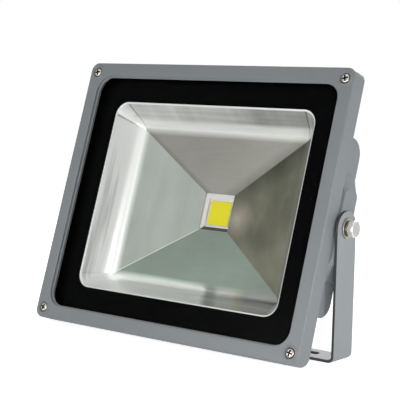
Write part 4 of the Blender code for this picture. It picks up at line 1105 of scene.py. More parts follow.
@dataclass
class PanScrews:
    """Pan head screws with a cross recess at the corners of a rectangle."""

    name: str
    head_radius: float
    head_height: float
    spread_across: float
    spread_up: float
    seat: float
    centre_up: float
    facing: Facing
    shank_radius: float
    shank_length: float
    seed: int
    recess_reach: float = 0.88
    recess_width: float = 0.46
    recess_depth: float = 0.6
    rim_share: float = 0.45
    dome_power: float = 3.2

    def build(self) -> Piece:
        """Make the screws with a node tree.

        Returns:
            One object that holds all four.
        """
        maker = Maker(self.name)
        radius = maker.size("Head radius", self.head_radius)
        height = maker.size("Head height", self.head_height)
        across = maker.size("Spread across", self.spread_across)
        up = maker.size("Spread up", self.spread_up)
        seed = maker.size("Seed", self.seed, "NodeSocketInt")
        body = maker.add("GeometryNodeMeshCylinder", {
            "Vertices": 40, "Side Segments": 1, "Fill Segments": 9, "Radius": radius, "Depth": height,
        })
        head = self.domed(maker, body, radius, height)
        slots = [self.slot(maker, radius, height, turn) for turn in (0.0, math.radians(90))]
        carved = maker.add("GeometryNodeMeshBoolean", {"Mesh 1": head, "Mesh 2": slots},
                           operation="DIFFERENCE", solver="EXACT")
        shank = maker.add("GeometryNodeMeshCylinder", {
            "Vertices": 24, "Radius": self.shank_radius, "Depth": self.shank_length,
        })
        shank = maker.moved(shank, (0.0, 0.0, 0.2 - self.shank_length / 2))
        screw = maker.add("GeometryNodeJoinGeometry", {"Geometry": [carved, shank]})
        corners = maker.add("GeometryNodeMeshGrid", {
            "Size X": across, "Size Y": up, "Vertices X": 2, "Vertices Y": 2,
        })
        twist = maker.add("FunctionNodeRandomValue", {2: 0.0, 3: math.pi / 2, "Seed": seed}, 1,
                          data_type="FLOAT")
        placed = maker.add("GeometryNodeInstanceOnPoints", {
            "Points": corners, "Instance": screw, "Rotation": maker.vector(0.0, 0.0, twist),
        })
        where = LAMP.matrix @ Matrix.Translation((0.0, self.seat, self.centre_up)) @ self.facing.turn
        screws = shade(maker.run(placed, where, ZINC), 50.0)
        self.mark_recesses(screws, where)
        return screws

    def mark_recesses(self, screws: Piece, where: Matrix) -> None:
        """Mark the faces inside the cross recesses, which lie well under the domes, for painted shade.

        Args:
            screws: The finished screws.
            where: Millimetres of the screws' axes to world metres.
        """
        inverse = where.inverted()
        marks = screws.data.attributes.new(ZINC.recess, "FLOAT", "FACE")
        for face in screws.data.polygons:
            place = inverse @ face.center
            reach = math.hypot(abs(place.x) - self.spread_across / 2, abs(place.y) - self.spread_up / 2)
            share = min(1.0, reach / self.head_radius)
            dome = (1 - self.rim_share) * max(0.0, 1 - share ** self.dome_power) ** 0.5 + self.rim_share
            dome *= self.head_height
            inside = share < self.recess_reach and 0.3 < place.z < dome - 0.08
            marks.data[face.index].value = 1.0 if inside else 0.0

    def domed(self, maker: Maker, body: Field, radius: Field, height: Field) -> Field:
        """Turn a cylinder's flat top into the pan head's low dome, with its seat at height 0.

        Args:
            maker: The screws' tree.
            body: The cylinder.
            radius: Its radius.
            height: Its height.

        Returns:
            The domed head.
        """
        out_x, out_y, level = maker.position()
        reach = ((out_x * out_x + out_y * out_y) ** 0.5) / radius
        fall = (1 - reach.maths("MINIMUM", 1.0) ** self.dome_power).maths("MAXIMUM", 0.0) ** 0.5
        top = fall * (1 - self.rim_share) + self.rim_share
        is_top = level.maths("GREATER_THAN", 0.0)
        return maker.add("GeometryNodeSetPosition", {
            "Geometry": body, "Position": maker.vector(out_x, out_y, is_top * top * height),
        })

    def slot(self, maker: Maker, radius: Field, height: Field, turn: float) -> Field:
        """Make one bar of the cross recess, which narrows towards its floor.

        Args:
            maker: The screws' tree.
            radius: Radius of the head.
            height: Height of the head.
            turn: Angle of the bar.

        Returns:
            The bar, where it cuts the head.
        """
        bar = maker.add("GeometryNodeMeshCube", {
            "Size": maker.vector(radius * (2 * self.recess_reach), radius * self.recess_width, height),
        })
        out_x, out_y, level = maker.position()
        share = (level / height + 0.5) * 0.4 + 0.6
        tapered = maker.add("GeometryNodeSetPosition", {
            "Geometry": bar, "Position": maker.vector(out_x * share, out_y * share, level),
        })
        lift = maker.vector(0.0, 0.0, height * (1.5 - self.recess_depth))
        return maker.moved(tapered, lift, Vector((0.0, 0.0, turn)))


# The lamp's front
@dataclass
class FrontFrame:
    """Die-cast frame with a rounded face, a stepped opening and a raised collar round each screw."""

    corner: float = 8.0
    edge: float = 1.4
    back_edge: float = 0.8
    skirt_wall: float = 2.6
    border: float = 12.4
    opening_corner: float = 15.0
    opening_edge: float = 0.6
    groove_start: float = 1.0
    groove_end: float = 2.3
    groove_reach: float = 0.7
    groove_slope: float = 0.2
    groove_return: float = 0.1
    lip_depth: float = 4.0
    lip_land: float = 0.9
    lip_reach: float = 1.0
    rib_wall: float = 1.8
    pocket_inset: float = 7.5
    rib_end: float = 11.4
    collar_radius: float = 6.9
    collar_height: float = 0.68
    collar_edge: float = 0.75
    collar_slope: float = 1.7
    well_radius: float = 4.6
    well_edge: float = 0.7
    well_depth: float = 2.0
    post_radius: float = 5.0
    hole_radius: float = 2.3
    screw_inset_across: float = 8.7
    screw_inset_up: float = 9.3
    screw_head_radius: float = 4.0
    screw_head_height: float = 2.5
    screw_seat: float = 1.85
    trim: float = 0.04

    def __post_init__(self) -> None:
        """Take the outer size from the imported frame."""
        half_width, half_height, _, self.depth = LAMP.extent("front_bezel")
        self.half_width = half_width - self.trim
        self.half_height = half_height - self.trim

    @property
    def screw_half_spread(self) -> tuple[float, float]:
        """Distances of the screws from the middle, across and up."""
        inset = self.trim - self.screw_inset_across, self.trim - self.screw_inset_up
        return self.half_width + inset[0], self.half_height + inset[1]

    def station(self, inset: float, radius: float, depth: float) -> Station:
        """Rounded rectangle at a distance inside the outline."""
        return self.half_width - inset, self.half_height - inset, radius, depth

    def screw_places(self) -> list[Matrix]:
        """Axes of the four screws, from the face backwards."""
        across, up = self.screw_half_spread
        return [Matrix.Translation((side_x * across, 0, side_z * up)) @ Facing.BACK.turn
                for side_x in (-1, 1) for side_z in (-1, 1)]

    def build(self) -> None:
        """Make the casting, from its outer edge round the opening to the inside of its skirt."""
        rib_corner = self.opening_corner + self.border - self.pocket_inset
        opening = (self.border, self.opening_corner)
        groove = (self.border - self.groove_reach, self.opening_corner + self.groove_reach)
        lip = (self.border + self.lip_reach, self.opening_corner - self.lip_reach)
        rib = (self.pocket_inset, rib_corner)
        rib_outside = (self.pocket_inset - self.rib_wall, rib_corner + self.rib_wall)
        skirt = (self.skirt_wall, self.corner - self.skirt_wall)
        stations = [self.station(0.0, self.corner, self.depth - self.back_edge)]
        stations += [self.station(inset, self.corner - inset, depth)
                     for inset, depth in rounding(self.edge, 7)]
        stations += [self.station(self.border - run, self.opening_corner + run, fall)
                     for run, fall in reversed(rounding(self.opening_edge, 6))]
        stations += [self.station(*place, depth) for place, depth in (
            (opening, self.groove_start), (groove, self.groove_start + self.groove_slope),
            (groove, self.groove_end - self.groove_return), (opening, self.groove_end),
            (lip, self.lip_depth - self.lip_land), (lip, self.lip_depth), (rib, self.lip_depth),
            (rib, self.rib_end), (rib_outside, self.rib_end), (rib_outside, self.lip_depth),
            (skirt, self.lip_depth), (skirt, self.depth),
        )]
        stations += [self.station(inset, self.corner - inset, self.depth - depth)
                     for inset, depth in reversed(rounding(self.back_edge, 4)[1:])]
        casting = Draft().loft(stations, ring=True).done("frame_casting", BRACKET_MATRIX)
        posts, bores = Draft(), Draft()
        for place in self.screw_places():
            posts.turned(self.post_profile(), place, 72)
            bores.turned(self.bore_profile(), place, 60)
        combine(casting, posts.done("posts", BRACKET_MATRIX), Shaping.JOIN)
        combine(casting, bores.done("bores", BRACKET_MATRIX), Shaping.CUT)
        casting.data.transform(LAMP.matrix @ BRACKET_MATRIX.inverted())
        dress(shade(casting), CAST_COAT, HEAD, ["front_bezel"])

    def post_profile(self) -> list[tuple[float, float]]:
        """Draw a screw post, from the collar's rounded edge on the face to the post's end.

        Returns:
            Its profile.
        """
        rim = [(self.collar_radius - run * self.collar_slope, fall - self.collar_height)
               for run, fall in reversed(rounding(self.collar_edge, 6))]
        shoulder = self.lip_depth / 2
        end = self.rib_end - 0.3
        return [(0.0, -self.collar_height), *rim, (self.collar_radius, shoulder),
                (self.post_radius, shoulder), (self.post_radius, end), (0.0, end)]

    def bore_profile(self) -> list[tuple[float, float]]:
        """Draw the tool that bores a well and its screw hole, flared where it breaks the collar.

        Returns:
            Its profile.
        """
        flare = self.well_radius + self.well_edge
        rim = [(flare - fall, self.well_edge - run - self.collar_height)
               for run, fall in reversed(rounding(self.well_edge, 4))]
        top, end = -self.collar_height - 1.0, self.rib_end + 1.0
        return [(0.0, top), (flare, top), *rim, (self.well_radius, self.well_depth),
                (self.hole_radius, self.well_depth), (self.hole_radius, end), (0.0, end)]

    def build_screws(self) -> None:
        """Make the frame's four screws."""
        across, up = self.screw_half_spread
        screws = PanScrews("frame_screws", self.screw_head_radius, self.screw_head_height, 2 * across, 2 * up,
                           self.screw_seat, 0.0, Facing.FRONT, 2.0, 15.0, seed=4).build()
        dress(screws, ZINC, HEAD, [f"bezel_screw_{n}" for n in range(1, 5)])


@dataclass
class Window:
    """Toughened pane with a black border printed on its rear face."""

    ground_edge: float = 0.4
    corner: float = 18.1
    window_half_width: float = 109.2
    window_half_height: float = 87.2
    window_corner: float = 13.0
    print_thickness: float = 0.12
    print_inset: float = 0.6

    def __post_init__(self) -> None:
        """Take the pane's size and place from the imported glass."""
        self.half_width, self.half_height, self.front, self.back = LAMP.extent("glass")

    def build_pane(self) -> None:
        """Make the pane with its ground edges."""
        def ring(inset: float, depth: float) -> Station:
            """Section at a distance inside the pane's edge."""
            return self.half_width - inset, self.half_height - inset, self.corner - inset, depth

        stations = [ring(run, self.front + fall) for run, fall in reversed(rounding(self.ground_edge, 3))]
        stations += [ring(run, self.back - fall) for run, fall in rounding(self.ground_edge, 3)]
        pane = Draft().loft(stations).done("window_pane")
        dress(shade(pane), PANE, HEAD, ["glass"])

    def build_print(self) -> None:
        """Make the printed border as a thin layer behind the pane."""
        inset = self.print_inset
        outer = (self.half_width - inset, self.half_height - inset, self.corner - inset)
        inner = (self.window_half_width, self.window_half_height, self.window_corner)
        front = self.back + 0.01
        back = front + self.print_thickness
        border = Draft().loft([(*outer, front), (*inner, front), (*inner, back), (*outer, back)], ring=True)
        dress(shade(border.done("window_border_print")), INK, HEAD)


@dataclass
class Reflector:
    """Pressed sheet: rolled bead, steep wall, bend and four flat panels that meet in soft creases."""

    window_half_width: float = 109.2
    window_half_height: float = 87.2
    window_corner: float = 13.0
    flange: float = 10.0
    bead_width: float = 1.2
    bead_depth: float = 0.5
    wall_width: float = 11.0
    wall_fall: float = 17.2
    panel_inset: float = 20.0
    panel_fall: float = 25.1
    crease: float = 0.8
    bend_steps: int = 14
    wall_steps: int = 4
    panel_steps: int = 10
    neck_half_width: float = 15.85
    neck_half_height: float = 16.75
    neck_depth: float = 48.0
    sheet: float = 0.8

    def __post_init__(self) -> None:
        """Take the sheet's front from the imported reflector."""
        self.front = LAMP.box("reflector")[0].y

    def profile(self) -> list[tuple[float, float]]:
        """Section of the sheet's front, from the bead to the foot of the bend.

        Returns:
            (inset from the window's edge, fall behind the bead) at each point.
        """
        panel_run = self.window_half_width - self.panel_inset - self.neck_half_width
        panel_slope = (self.neck_depth - self.front - self.panel_fall) / panel_run
        wall_slope = (self.wall_fall - self.bead_depth) / (self.wall_width - self.bead_width)
        offset = self.panel_fall - panel_slope * self.panel_inset
        meet = (offset - self.bead_depth + wall_slope * self.bead_width) / (wall_slope - panel_slope)
        tangent = (meet, offset + panel_slope * meet)
        start = (self.wall_width, self.wall_fall)
        end = (self.panel_inset, self.panel_fall)
        points = []
        for step in range(self.wall_steps):
            share = step / self.wall_steps
            points.append((self.bead_width + share * (start[0] - self.bead_width),
                           self.bead_depth + share * (start[1] - self.bead_depth)))
        for step in range(self.bend_steps + 1):
            t = step / self.bend_steps
            points.append(tuple((1 - t) ** 2 * a + 2 * t * (1 - t) * b + t * t * c
                                for a, b, c in zip(start, tangent, end)))
        return points

    def bead(self) -> list[tuple[float, float]]:
        """Rolled edge from the flange down to the wall."""
        return [(self.bead_width * share - 0.1, self.bead_depth * share ** 2.2)
                for share in (0.0, 0.3, 0.6, 0.85)]

    def stations(self) -> list[Station]:
        """Lay out the sheet's front, from the flange to the neck.

        Returns:
            Its sections.
        """
        def window(inset: float, fall: float) -> Station:
            """Section at a distance inside the window's edge."""
            corner = max(self.crease, self.window_corner * (1 - inset / self.panel_inset))
            return self.window_half_width - inset, self.window_half_height - inset, corner, self.front + fall

        flange = (self.window_half_width + self.flange, self.window_half_height + self.flange,
                  self.window_corner + self.flange * 0.7, self.front)
        made = [flange] + [window(inset, fall) for inset, fall in self.bead() + self.profile()]
        foot = made[-1]
        neck = (self.neck_half_width, self.neck_half_height, self.crease, self.neck_depth)
        for step in range(1, self.panel_steps + 1):
            share = step / self.panel_steps
            made.append(tuple(a + share * (b - a) for a, b in zip(foot, neck)))
        return made

    def build(self) -> None:
        """Make the sheet with its thickness and its lean attribute."""
        front = self.stations()
        out, back = self.sheet * 0.5, self.sheet * 0.8
        behind = [(half_width + out, half_height + out, corner + 0.4, depth + back)
                  for half_width, half_height, corner, depth in reversed(front[1:])]
        behind.append((*front[0][:3], front[0][3] + self.sheet))
        sheet = Draft().loft(front + behind, ring=True, steps=8).done("reflector_sheet")
        shade(sheet, 60.0)
        mark_lean(sheet, POLISHED_SHEET.lean)
        dress(sheet, POLISHED_SHEET, HEAD, ["reflector"])


@dataclass
class Emitter:
    """Square emitter in the reflector's neck: white frame with sloped walls round the yellow gel."""

    neck_half_width: float = 15.45
    neck_half_height: float = 16.35
    rim: float = 1.3
    bead_pitch: float = 2.1
    bead_radius: float = 0.66

    def __post_init__(self) -> None:
        """Take the gel's and the frame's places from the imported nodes."""
        self.half_width, self.half_height, self.face, self.rear = LAMP.extent("cob_phosphor")
        *self.frame_size, self.frame_front, self.frame_back = LAMP.extent("cob_frame")

    def build_frame(self) -> None:
        """Make the white frame with rounded lips."""
        inner = (self.half_width + self.rim, self.half_height + self.rim)
        outer = self.frame_size
        mouth = (self.neck_half_width, self.neck_half_height)
        stations = [(*outer, 2.0, self.frame_front), (*mouth, 1.5, self.frame_front)]
        for step in range(1, 5):
            share = step / 4
            depth = self.frame_front + share * (self.face - 0.4 - self.frame_front)
            size = (start + share * (end - start) for start, end in zip(mouth, inner))
            stations.append((*size, 1.5 - 0.5 * share, depth))
        stations += [(*inner, 1.0, self.frame_back), (*outer, 2.0, self.frame_back)]
        moulding = Draft().loft(stations, ring=True, steps=6).done("emitter_frame")
        soften(moulding, 0.12, 2)
        shade(moulding)
        mark_lean(moulding, NECK_WALLS.lean)
        dress(moulding, NECK_WALLS, HEAD, ["cob_frame"])

    def build_gel(self) -> None:
        """Make the yellow gel, slightly crowned."""
        stations = [(self.half_width - run * 0.9, self.half_height - run * 0.9, 1.0, self.face + fall)
                    for run, fall in reversed(rounding(0.5, 4))]
        stations.insert(0, (self.half_width * 0.5, self.half_height * 0.5, 0.8, self.face))
        stations.append((self.half_width, self.half_height, 1.0, self.rear))
        gel = Draft().loft(stations, steps=6).done("emitter_gel")
        dress(shade(gel), GEL, HEAD, ["cob_phosphor"])

    def build_dots(self) -> None:
        """Make the row of gel beads round the yellow square's rim with a node tree."""
        maker = Maker("emitter_rim_beads")
        width = maker.size("Width", 2 * self.half_width - self.bead_radius)
        height = maker.size("Height", 2 * self.half_height - self.bead_radius)
        radius = maker.size("Radius", self.bead_radius)
        seed = maker.size("Seed", 7, "NodeSocketInt")
        outline = maker.add("GeometryNodeCurvePrimitiveQuadrilateral", {"Width": width, "Height": height},
                            mode="RECTANGLE")
        points = maker.add("GeometryNodeResampleCurve", {
            "Curve": outline, "Count": round(4 * (self.half_width + self.half_height) / self.bead_pitch),
        })
        bead = maker.add("GeometryNodeMeshIcoSphere", {"Radius": radius, "Subdivisions": 2})
        size = maker.add("FunctionNodeRandomValue", {2: 0.6, 3: 1.25, "Seed": seed}, 1, data_type="FLOAT")
        placed = maker.add("GeometryNodeInstanceOnPoints", {
            "Points": points, "Instance": bead, "Scale": maker.vector(size, size * 1.3, 0.7),
        })
        where = Matrix.Translation((0.0, self.face + 0.25, 0.0)) @ Facing.FRONT.turn
        beads = maker.run(placed, LAMP.matrix @ where, CLEAR_GEL)
        dress(shade(beads), CLEAR_GEL, HEAD)


# The cast body
@dataclass
class FinBank:
    """Upright cooling fins whose height and depth follow a bow from the side walls to the middle."""

    pitch: float = 13.6
    per_side: int = 9
    thickness: float = 3.0
    side_half_width: float = 138.5
    side_wall: float = 5.0
    half_height: float = 74.5
    rise_height: float = 11.0
    depth: float = 40.0
    rise_depth: float = 38.0
    corner: float = 14.0
    rise_corner: float = 14.0
    corner_steps: int = 9
    edge: float = 0.7
    start: float = 13.2
    middle: float = -5.0

    def build(self) -> Piece:
        """Make the bank with a node tree that repeats one fin.

        Returns:
            The fins and both side walls as one object.
        """
        maker = Maker("cooling_fins")
        pitch = maker.size("Pitch", self.pitch)
        thickness = maker.size("Thickness", self.thickness)
        per_side = maker.size("Fins per side", self.per_side, "NodeSocketInt")
        side = maker.size("Side half width", self.side_half_width)
        wall = maker.size("Side wall", self.side_wall)
        enter = maker.nodes.nodes.new("GeometryNodeRepeatInput")
        leave = maker.nodes.nodes.new("GeometryNodeRepeatOutput")
        enter.pair_with_output(leave)
        maker.connect(enter.inputs["Iterations"], per_side * 2 + 3)
        turn = Field(maker, enter.outputs["Iteration"])
        index = turn - per_side - 1
        outermost = abs(index).maths("GREATER_THAN", per_side + 0.5)
        at_side = side * index.maths("SIGN") - wall * 0.5 * index.maths("SIGN")
        across = index * pitch * (1 - outermost) + at_side * outermost
        width = thickness * (1 - outermost) + wall * outermost
        slab = self.slab(maker, across, width, side, outermost)
        joined = maker.add("GeometryNodeJoinGeometry",
                           {"Geometry": [Field(maker, enter.outputs["Geometry"]), slab]})
        maker.connect(leave.inputs["Geometry"], joined)
        fins = maker.run(Field(maker, leave.outputs["Geometry"]), LAMP.matrix, CAST_COAT)
        merged = bmesh.new()
        merged.from_mesh(fins.data)
        bmesh.ops.remove_doubles(merged, verts=merged.verts, dist=0.000005)
        bmesh.ops.recalc_face_normals(merged, faces=merged.faces)
        merged.to_mesh(fins.data)
        merged.free()
        return soften(fins, self.edge, 3, 60.0)

    def slab(self, maker: Maker, across: Field, width: Field, side: Field, outermost: Field) -> Field:
        """Make one fin: an outline with two round back corners, filled and stretched to its width.

        Args:
            maker: The bank's tree.
            across: Place of the fin's middle.
            width: Its thickness.
            side: Half width of the bank.
            outermost: 1 for a side wall and 0 for a fin.

        Returns:
            The fin.
        """
        reach = across / side
        share = (1 - reach * reach).maths("MAXIMUM", 0.0) * (1 - outermost)
        half = share * self.rise_height + self.half_height
        depth = share * self.rise_depth + self.depth
        radius = share * self.rise_corner + self.corner
        outline = maker.add("GeometryNodeCurvePrimitiveQuadrilateral",
                            {"Width": depth - self.start, "Height": half * 2}, mode="RECTANGLE")
        at_back = maker.position()[0].maths("GREATER_THAN", 0.0)
        rounded = maker.add("GeometryNodeFilletCurve", {
            "Curve": outline, "Count": self.corner_steps, "Radius": radius * at_back, "Limit Radius": True,
        }, mode="POLY")
        filled = maker.add("GeometryNodeFillCurve", {"Curve": rounded})
        stretched = maker.add("GeometryNodeExtrudeMesh", {
            "Mesh": filled, "Offset": maker.vector(0.0, 0.0, 1.0), "Offset Scale": width, "Individual": False,
        }, mode="FACES")
        closed = maker.add("GeometryNodeJoinGeometry", {"Geometry": [filled, stretched]})
        where = maker.vector(across - width * 0.5, (depth + self.start) * 0.5, self.middle)
        return maker.moved(closed, where, Matrix(((0, 0, 1), (1, 0, 0), (0, 1, 0))).to_euler())


@dataclass
class Housing:
    """Cast body: flange, pyramid shell, fins, pivot blocks and the driver chamber."""

    front_frame: FrontFrame
    fins: FinBank = field(default_factory=FinBank)
    front: float = 11.7
    flange_thickness: float = 4.6
    flange_inset: float = 3.1
    flange_corner: float = 6.0
    flange_edge: float = 0.8
    flange_fillet: Profile = ((1.5, 0.0), (0.4, 0.5), (0.0, 1.6))
    window_corner: float = 13.0
    cavity_half_width: float = 111.5
    cavity_half_height: float = 89.5
    wall: float = 5.0
    skirt: float = 14.3
    land_width: float = 9.0
    land_front: float = 10.7
    plate_front: float = 55.1
    plate_back: float = 60.1
    plate_half_width: float = 63.5
    plate_half_height: float = 57.5
    plate_rounding: Sequence[tuple[float, ...]] = ((2.5, 10.0, 3.0), (1.0, 9.5, 0.8), (0.0, 9.0, 0.0))
    chamber_half_width: float = 58.0
    chamber_half_height: float = 43.0
    chamber_corner: float = 6.0
    chamber_wall: float = 3.5
    chamber_depth: float = 92.0
    boss_radius: float = 5.5
    boss_depth: float = 19.0
    boss_edge: float = 0.6
    pivot_back: float = 26.5
    middle: float = -5.0
    block_width: float = 18.4
    block_half_height: float = 32.0
    block_root_half_height: float = 45.0
    block_front: float = 17.1
    block_face: float = 145.2
    block_edge: float = 0.8
    barrel_radius: float = 11.0
    barrel_end: float = 114.0
    barrel_edge: float = 0.8
    bolt_hole: float = 4.3
    bolt_hole_floor: float = 5.5
    gland_back: float = 76.0
    gland_hole: float = 7.9
    notch_half_width: float = 11.8
    notch_front: float = 62.05

    def build(self) -> None:
        """Make the casting round the fins."""
        housing = self.shell()
        for make, shaping in (
            (self.fins.build, Shaping.JOIN), (self.notch, Shaping.CUT), (self.chamber, Shaping.JOIN),
            (self.pivot_blocks, Shaping.JOIN), (self.bosses, Shaping.JOIN), (self.cavity, Shaping.CUT),
            (self.chamber_cavity, Shaping.CUT), (self.holes, Shaping.CUT),
        ):
            combine(housing, make(), shaping)
        housing.name = "housing_casting"
        dress(shade(housing, 45.0), CAST_COAT, HEAD, ["rear_housing"])

    def shell(self) -> Piece:
        """Loft the flange, the land for the seal and the pyramid behind the reflector.

        Returns:
            The solid shell.
        """
        land = (self.cavity_half_width + self.wall + self.land_width / 2,
                self.cavity_half_height + self.wall + self.land_width / 2)
        flange = (self.front_frame.half_width - self.flange_inset,
                  self.front_frame.half_height - self.flange_inset)
        body = (self.cavity_half_width + self.wall, self.cavity_half_height + self.wall)
        back = self.front + self.flange_thickness
        stations = [
            (*land, self.window_corner + 7, self.land_front), (*land, self.window_corner + 7, self.front),
            (*flange, self.flange_corner, self.front),
        ]
        stations += [(flange[0] - run, flange[1] - run, self.flange_corner - run, back - fall)
                     for run, fall in rounding(self.flange_edge, 3)]
        stations += [(body[0] + out, body[1] + out, self.window_corner + 4 + out, back + fall)
                     for out, fall in self.flange_fillet]
        stations.append((body[0] - 2, body[1] - 2, self.window_corner + 2, self.front + self.skirt))
        plate = (self.plate_half_width, self.plate_half_height)
        stations += [(plate[0] + out, plate[1] + out, corner, self.plate_back - rise)
                     for out, corner, rise in self.plate_rounding]
        return Draft().loft(stations, steps=8).done("shell")

    def notch(self) -> Piece:
        """Make the tool that cuts room for the cable inlet out of the fins.

        Returns:
            The tool.
        """
        top = self.middle - self.chamber_half_height - 0.1
        bottom = self.middle - self.fins.half_height - self.fins.rise_height - 10
        size = (self.notch_half_width, (top - bottom) / 2, 1.0)
        back = self.fins.depth + self.fins.rise_depth + 10
        cut = Draft().loft([(*size, self.notch_front), (*size, back)], steps=4,
                           centre=(0, (top + bottom) / 2))
        return cut.done("notch")

    def chamber(self) -> Piece:
        """Loft the outside of the driver chamber.

        Returns:
            The solid block.
        """
        size = (self.chamber_half_width, self.chamber_half_height, self.chamber_corner)
        block = Draft().loft([(*size, self.plate_front + 1.7), (*size, self.chamber_depth)],
                             centre=(0, self.middle), steps=8)
        return block.done("chamber")

    def pivot_blocks(self) -> Piece:
        """Loft the blocks on the side walls that reach to the bracket's arms.

        Returns:
            Both blocks.
        """
        back = self.pivot_back + self.block_width / 2
        half = (back - self.block_front) / 2
        centre = ((self.block_front + back) / 2 + 1.6, self.middle)
        blocks = Draft()
        for side in (-1, 1):
            root = (half + 1.6, self.block_root_half_height, 5.0)
            stations = [
                (*root, side * (self.fins.side_half_width - self.fins.side_wall / 2)),
                (*root, side * (self.fins.side_half_width + 0.6)),
                (half + 0.2, self.block_half_height, 5.5, side * (self.block_face - self.block_edge)),
            ]
            stations += [(half + 0.2 - run, self.block_half_height - run, 5.5 - run,
                          side * (self.block_face - fall)) for run, fall in rounding(self.block_edge, 4)]
            blocks.loft(stations, lay=on_side, centre=centre, steps=8)
        return blocks.done("pivot_blocks")

    def bosses(self) -> Piece:
        """Turn the screw bosses behind the flange and the barrels round the tilt bolts.

        Returns:
            All of them as one object.
        """
        bosses = Draft()
        radius, edge = self.boss_radius, self.boss_edge
        start, end = self.front + self.flange_thickness / 2, self.boss_depth
        for place in self.front_frame.screw_places():
            profile = [(0, start), (radius, start), (radius, end - edge), (radius - edge, end), (0, end)]
            bosses.turned(profile, place, 40)
        radius, edge = self.barrel_radius, self.barrel_edge
        start, end = self.barrel_end, self.fins.side_half_width - self.fins.side_wall / 3
        for facing in (Facing.LEFT, Facing.RIGHT):
            place = Matrix.Translation((0, self.pivot_back, self.middle)) @ facing.turn
            profile = [(0, start), (radius - edge, start), (radius, start + edge), (radius, end), (0, end)]
            bosses.turned(profile, place, 48)
        return bosses.done("bosses")

    def cavity(self) -> Piece:
        """Make the tool for the hollow behind the reflector.

        Returns:
            The tool.
        """
        mouth = (self.cavity_half_width, self.cavity_half_height)
        plate = (self.plate_half_width - 2.5, self.plate_half_height - 2.5)
        hollow = Draft().loft([
            (*mouth, self.window_corner + 1, self.land_front - 2),
            (mouth[0] - 1, mouth[1] - 1, self.window_corner, self.front + self.skirt - 1.5),
            (*plate, 7.0, self.plate_front),
        ], steps=8)
        return hollow.done("cavity")

    def chamber_cavity(self) -> Piece:
        """Make the tool for the hollow of the driver chamber.

        Returns:
            The tool.
        """
        size = (self.chamber_half_width - self.chamber_wall, self.chamber_half_height - self.chamber_wall,
                self.chamber_corner - self.chamber_wall / 2)
        hollow = Draft().loft([(*size, self.plate_back - 0.2), (*size, self.chamber_depth + 1)],
                              centre=(0, self.middle), steps=6)
        return hollow.done("chamber_cavity")

    def holes(self) -> Piece:
        """Make the tools for the holes of the tilt bolts and of the cable inlet.

        Returns:
            The tools as one object.
        """
        holes = Draft()
        for facing in (Facing.LEFT, Facing.RIGHT):
            place = Matrix.Translation((0, self.pivot_back, self.middle)) @ facing.turn
            holes.rod(self.bolt_hole, self.barrel_end + self.bolt_hole_floor, self.block_face + 2, place)
        place = Matrix.Translation((0, self.gland_back, 0)) @ Facing.DOWN.turn
        wall = self.chamber_half_height - self.middle
        holes.rod(self.gland_hole, wall - self.chamber_wall - 1.5, wall + 1.5, place)
        return holes.done("holes")


@dataclass
class ChamberLid:
    """Lid of the driver chamber with its raised panel and four screws."""

    half_width: float = 58.0
    half_height: float = 43.0
    corner: float = 6.0
    middle: float = -5.0
    edge: float = 1.2
    panel_inset: float = 10.5
    panel_rise: float = 1.2
    hole_radius: float = 1.8
    post_inset: float = 7.0
    screw_head_radius: float = 2.8
    screw_head_height: float = 1.9

    def __post_init__(self) -> None:
        """Take the lid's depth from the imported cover."""
        _, _, self.front, rear = LAMP.extent("chamber_cover")
        self.back = rear - self.panel_rise

    def build(self) -> None:
        """Make the lid with its raised panel."""
        def ring(inset: float, corner: float, depth: float) -> Station:
            """Section at a distance inside the lid's edge."""
            return self.half_width - inset, self.half_height - inset, corner, depth

        stations = [ring(0.0, self.corner, self.front)]
        stations += [ring(run, self.corner - run, self.back - fall) for run, fall in rounding(self.edge, 6)]
        foot = self.panel_inset
        for share in (0.0, 0.15, 0.5, 0.85, 1.0):
            eased = share * share * (3 - 2 * share)
            stations.append(ring(foot + share * 1.6, 4.0 - 0.6 * share, self.back + self.panel_rise * eased))
        lid = Draft().loft(stations, steps=10, centre=(0, self.middle)).done("chamber_lid")
        holes = Draft()
        for side_x in (-1, 1):
            for side_z in (-1, 1):
                across = side_x * (self.half_width - self.post_inset)
                up = self.middle + side_z * (self.half_height - self.post_inset)
                place = Matrix.Translation((across, 0, up)) @ Facing.BACK.turn
                holes.rod(self.hole_radius, self.front - 1, self.back + 1, place, 32)
        combine(lid, holes.done("lid_holes"), Shaping.CUT)
        dress(shade(lid), CAST_COAT, HEAD, ["chamber_cover"])

    def build_screws(self) -> None:
        """Make the lid's four screws."""
        across = 2 * (self.half_width - self.post_inset)
        up = 2 * (self.half_height - self.post_inset)
        screws = PanScrews("lid_screws", self.screw_head_radius, self.screw_head_height, across, up,
                           self.back + 0.3, self.middle, Facing.BACK, 1.5, 15.0, seed=11).build()
        dress(screws, ZINC, HEAD, [f"cover_screw_{n}" for n in range(1, 5)])


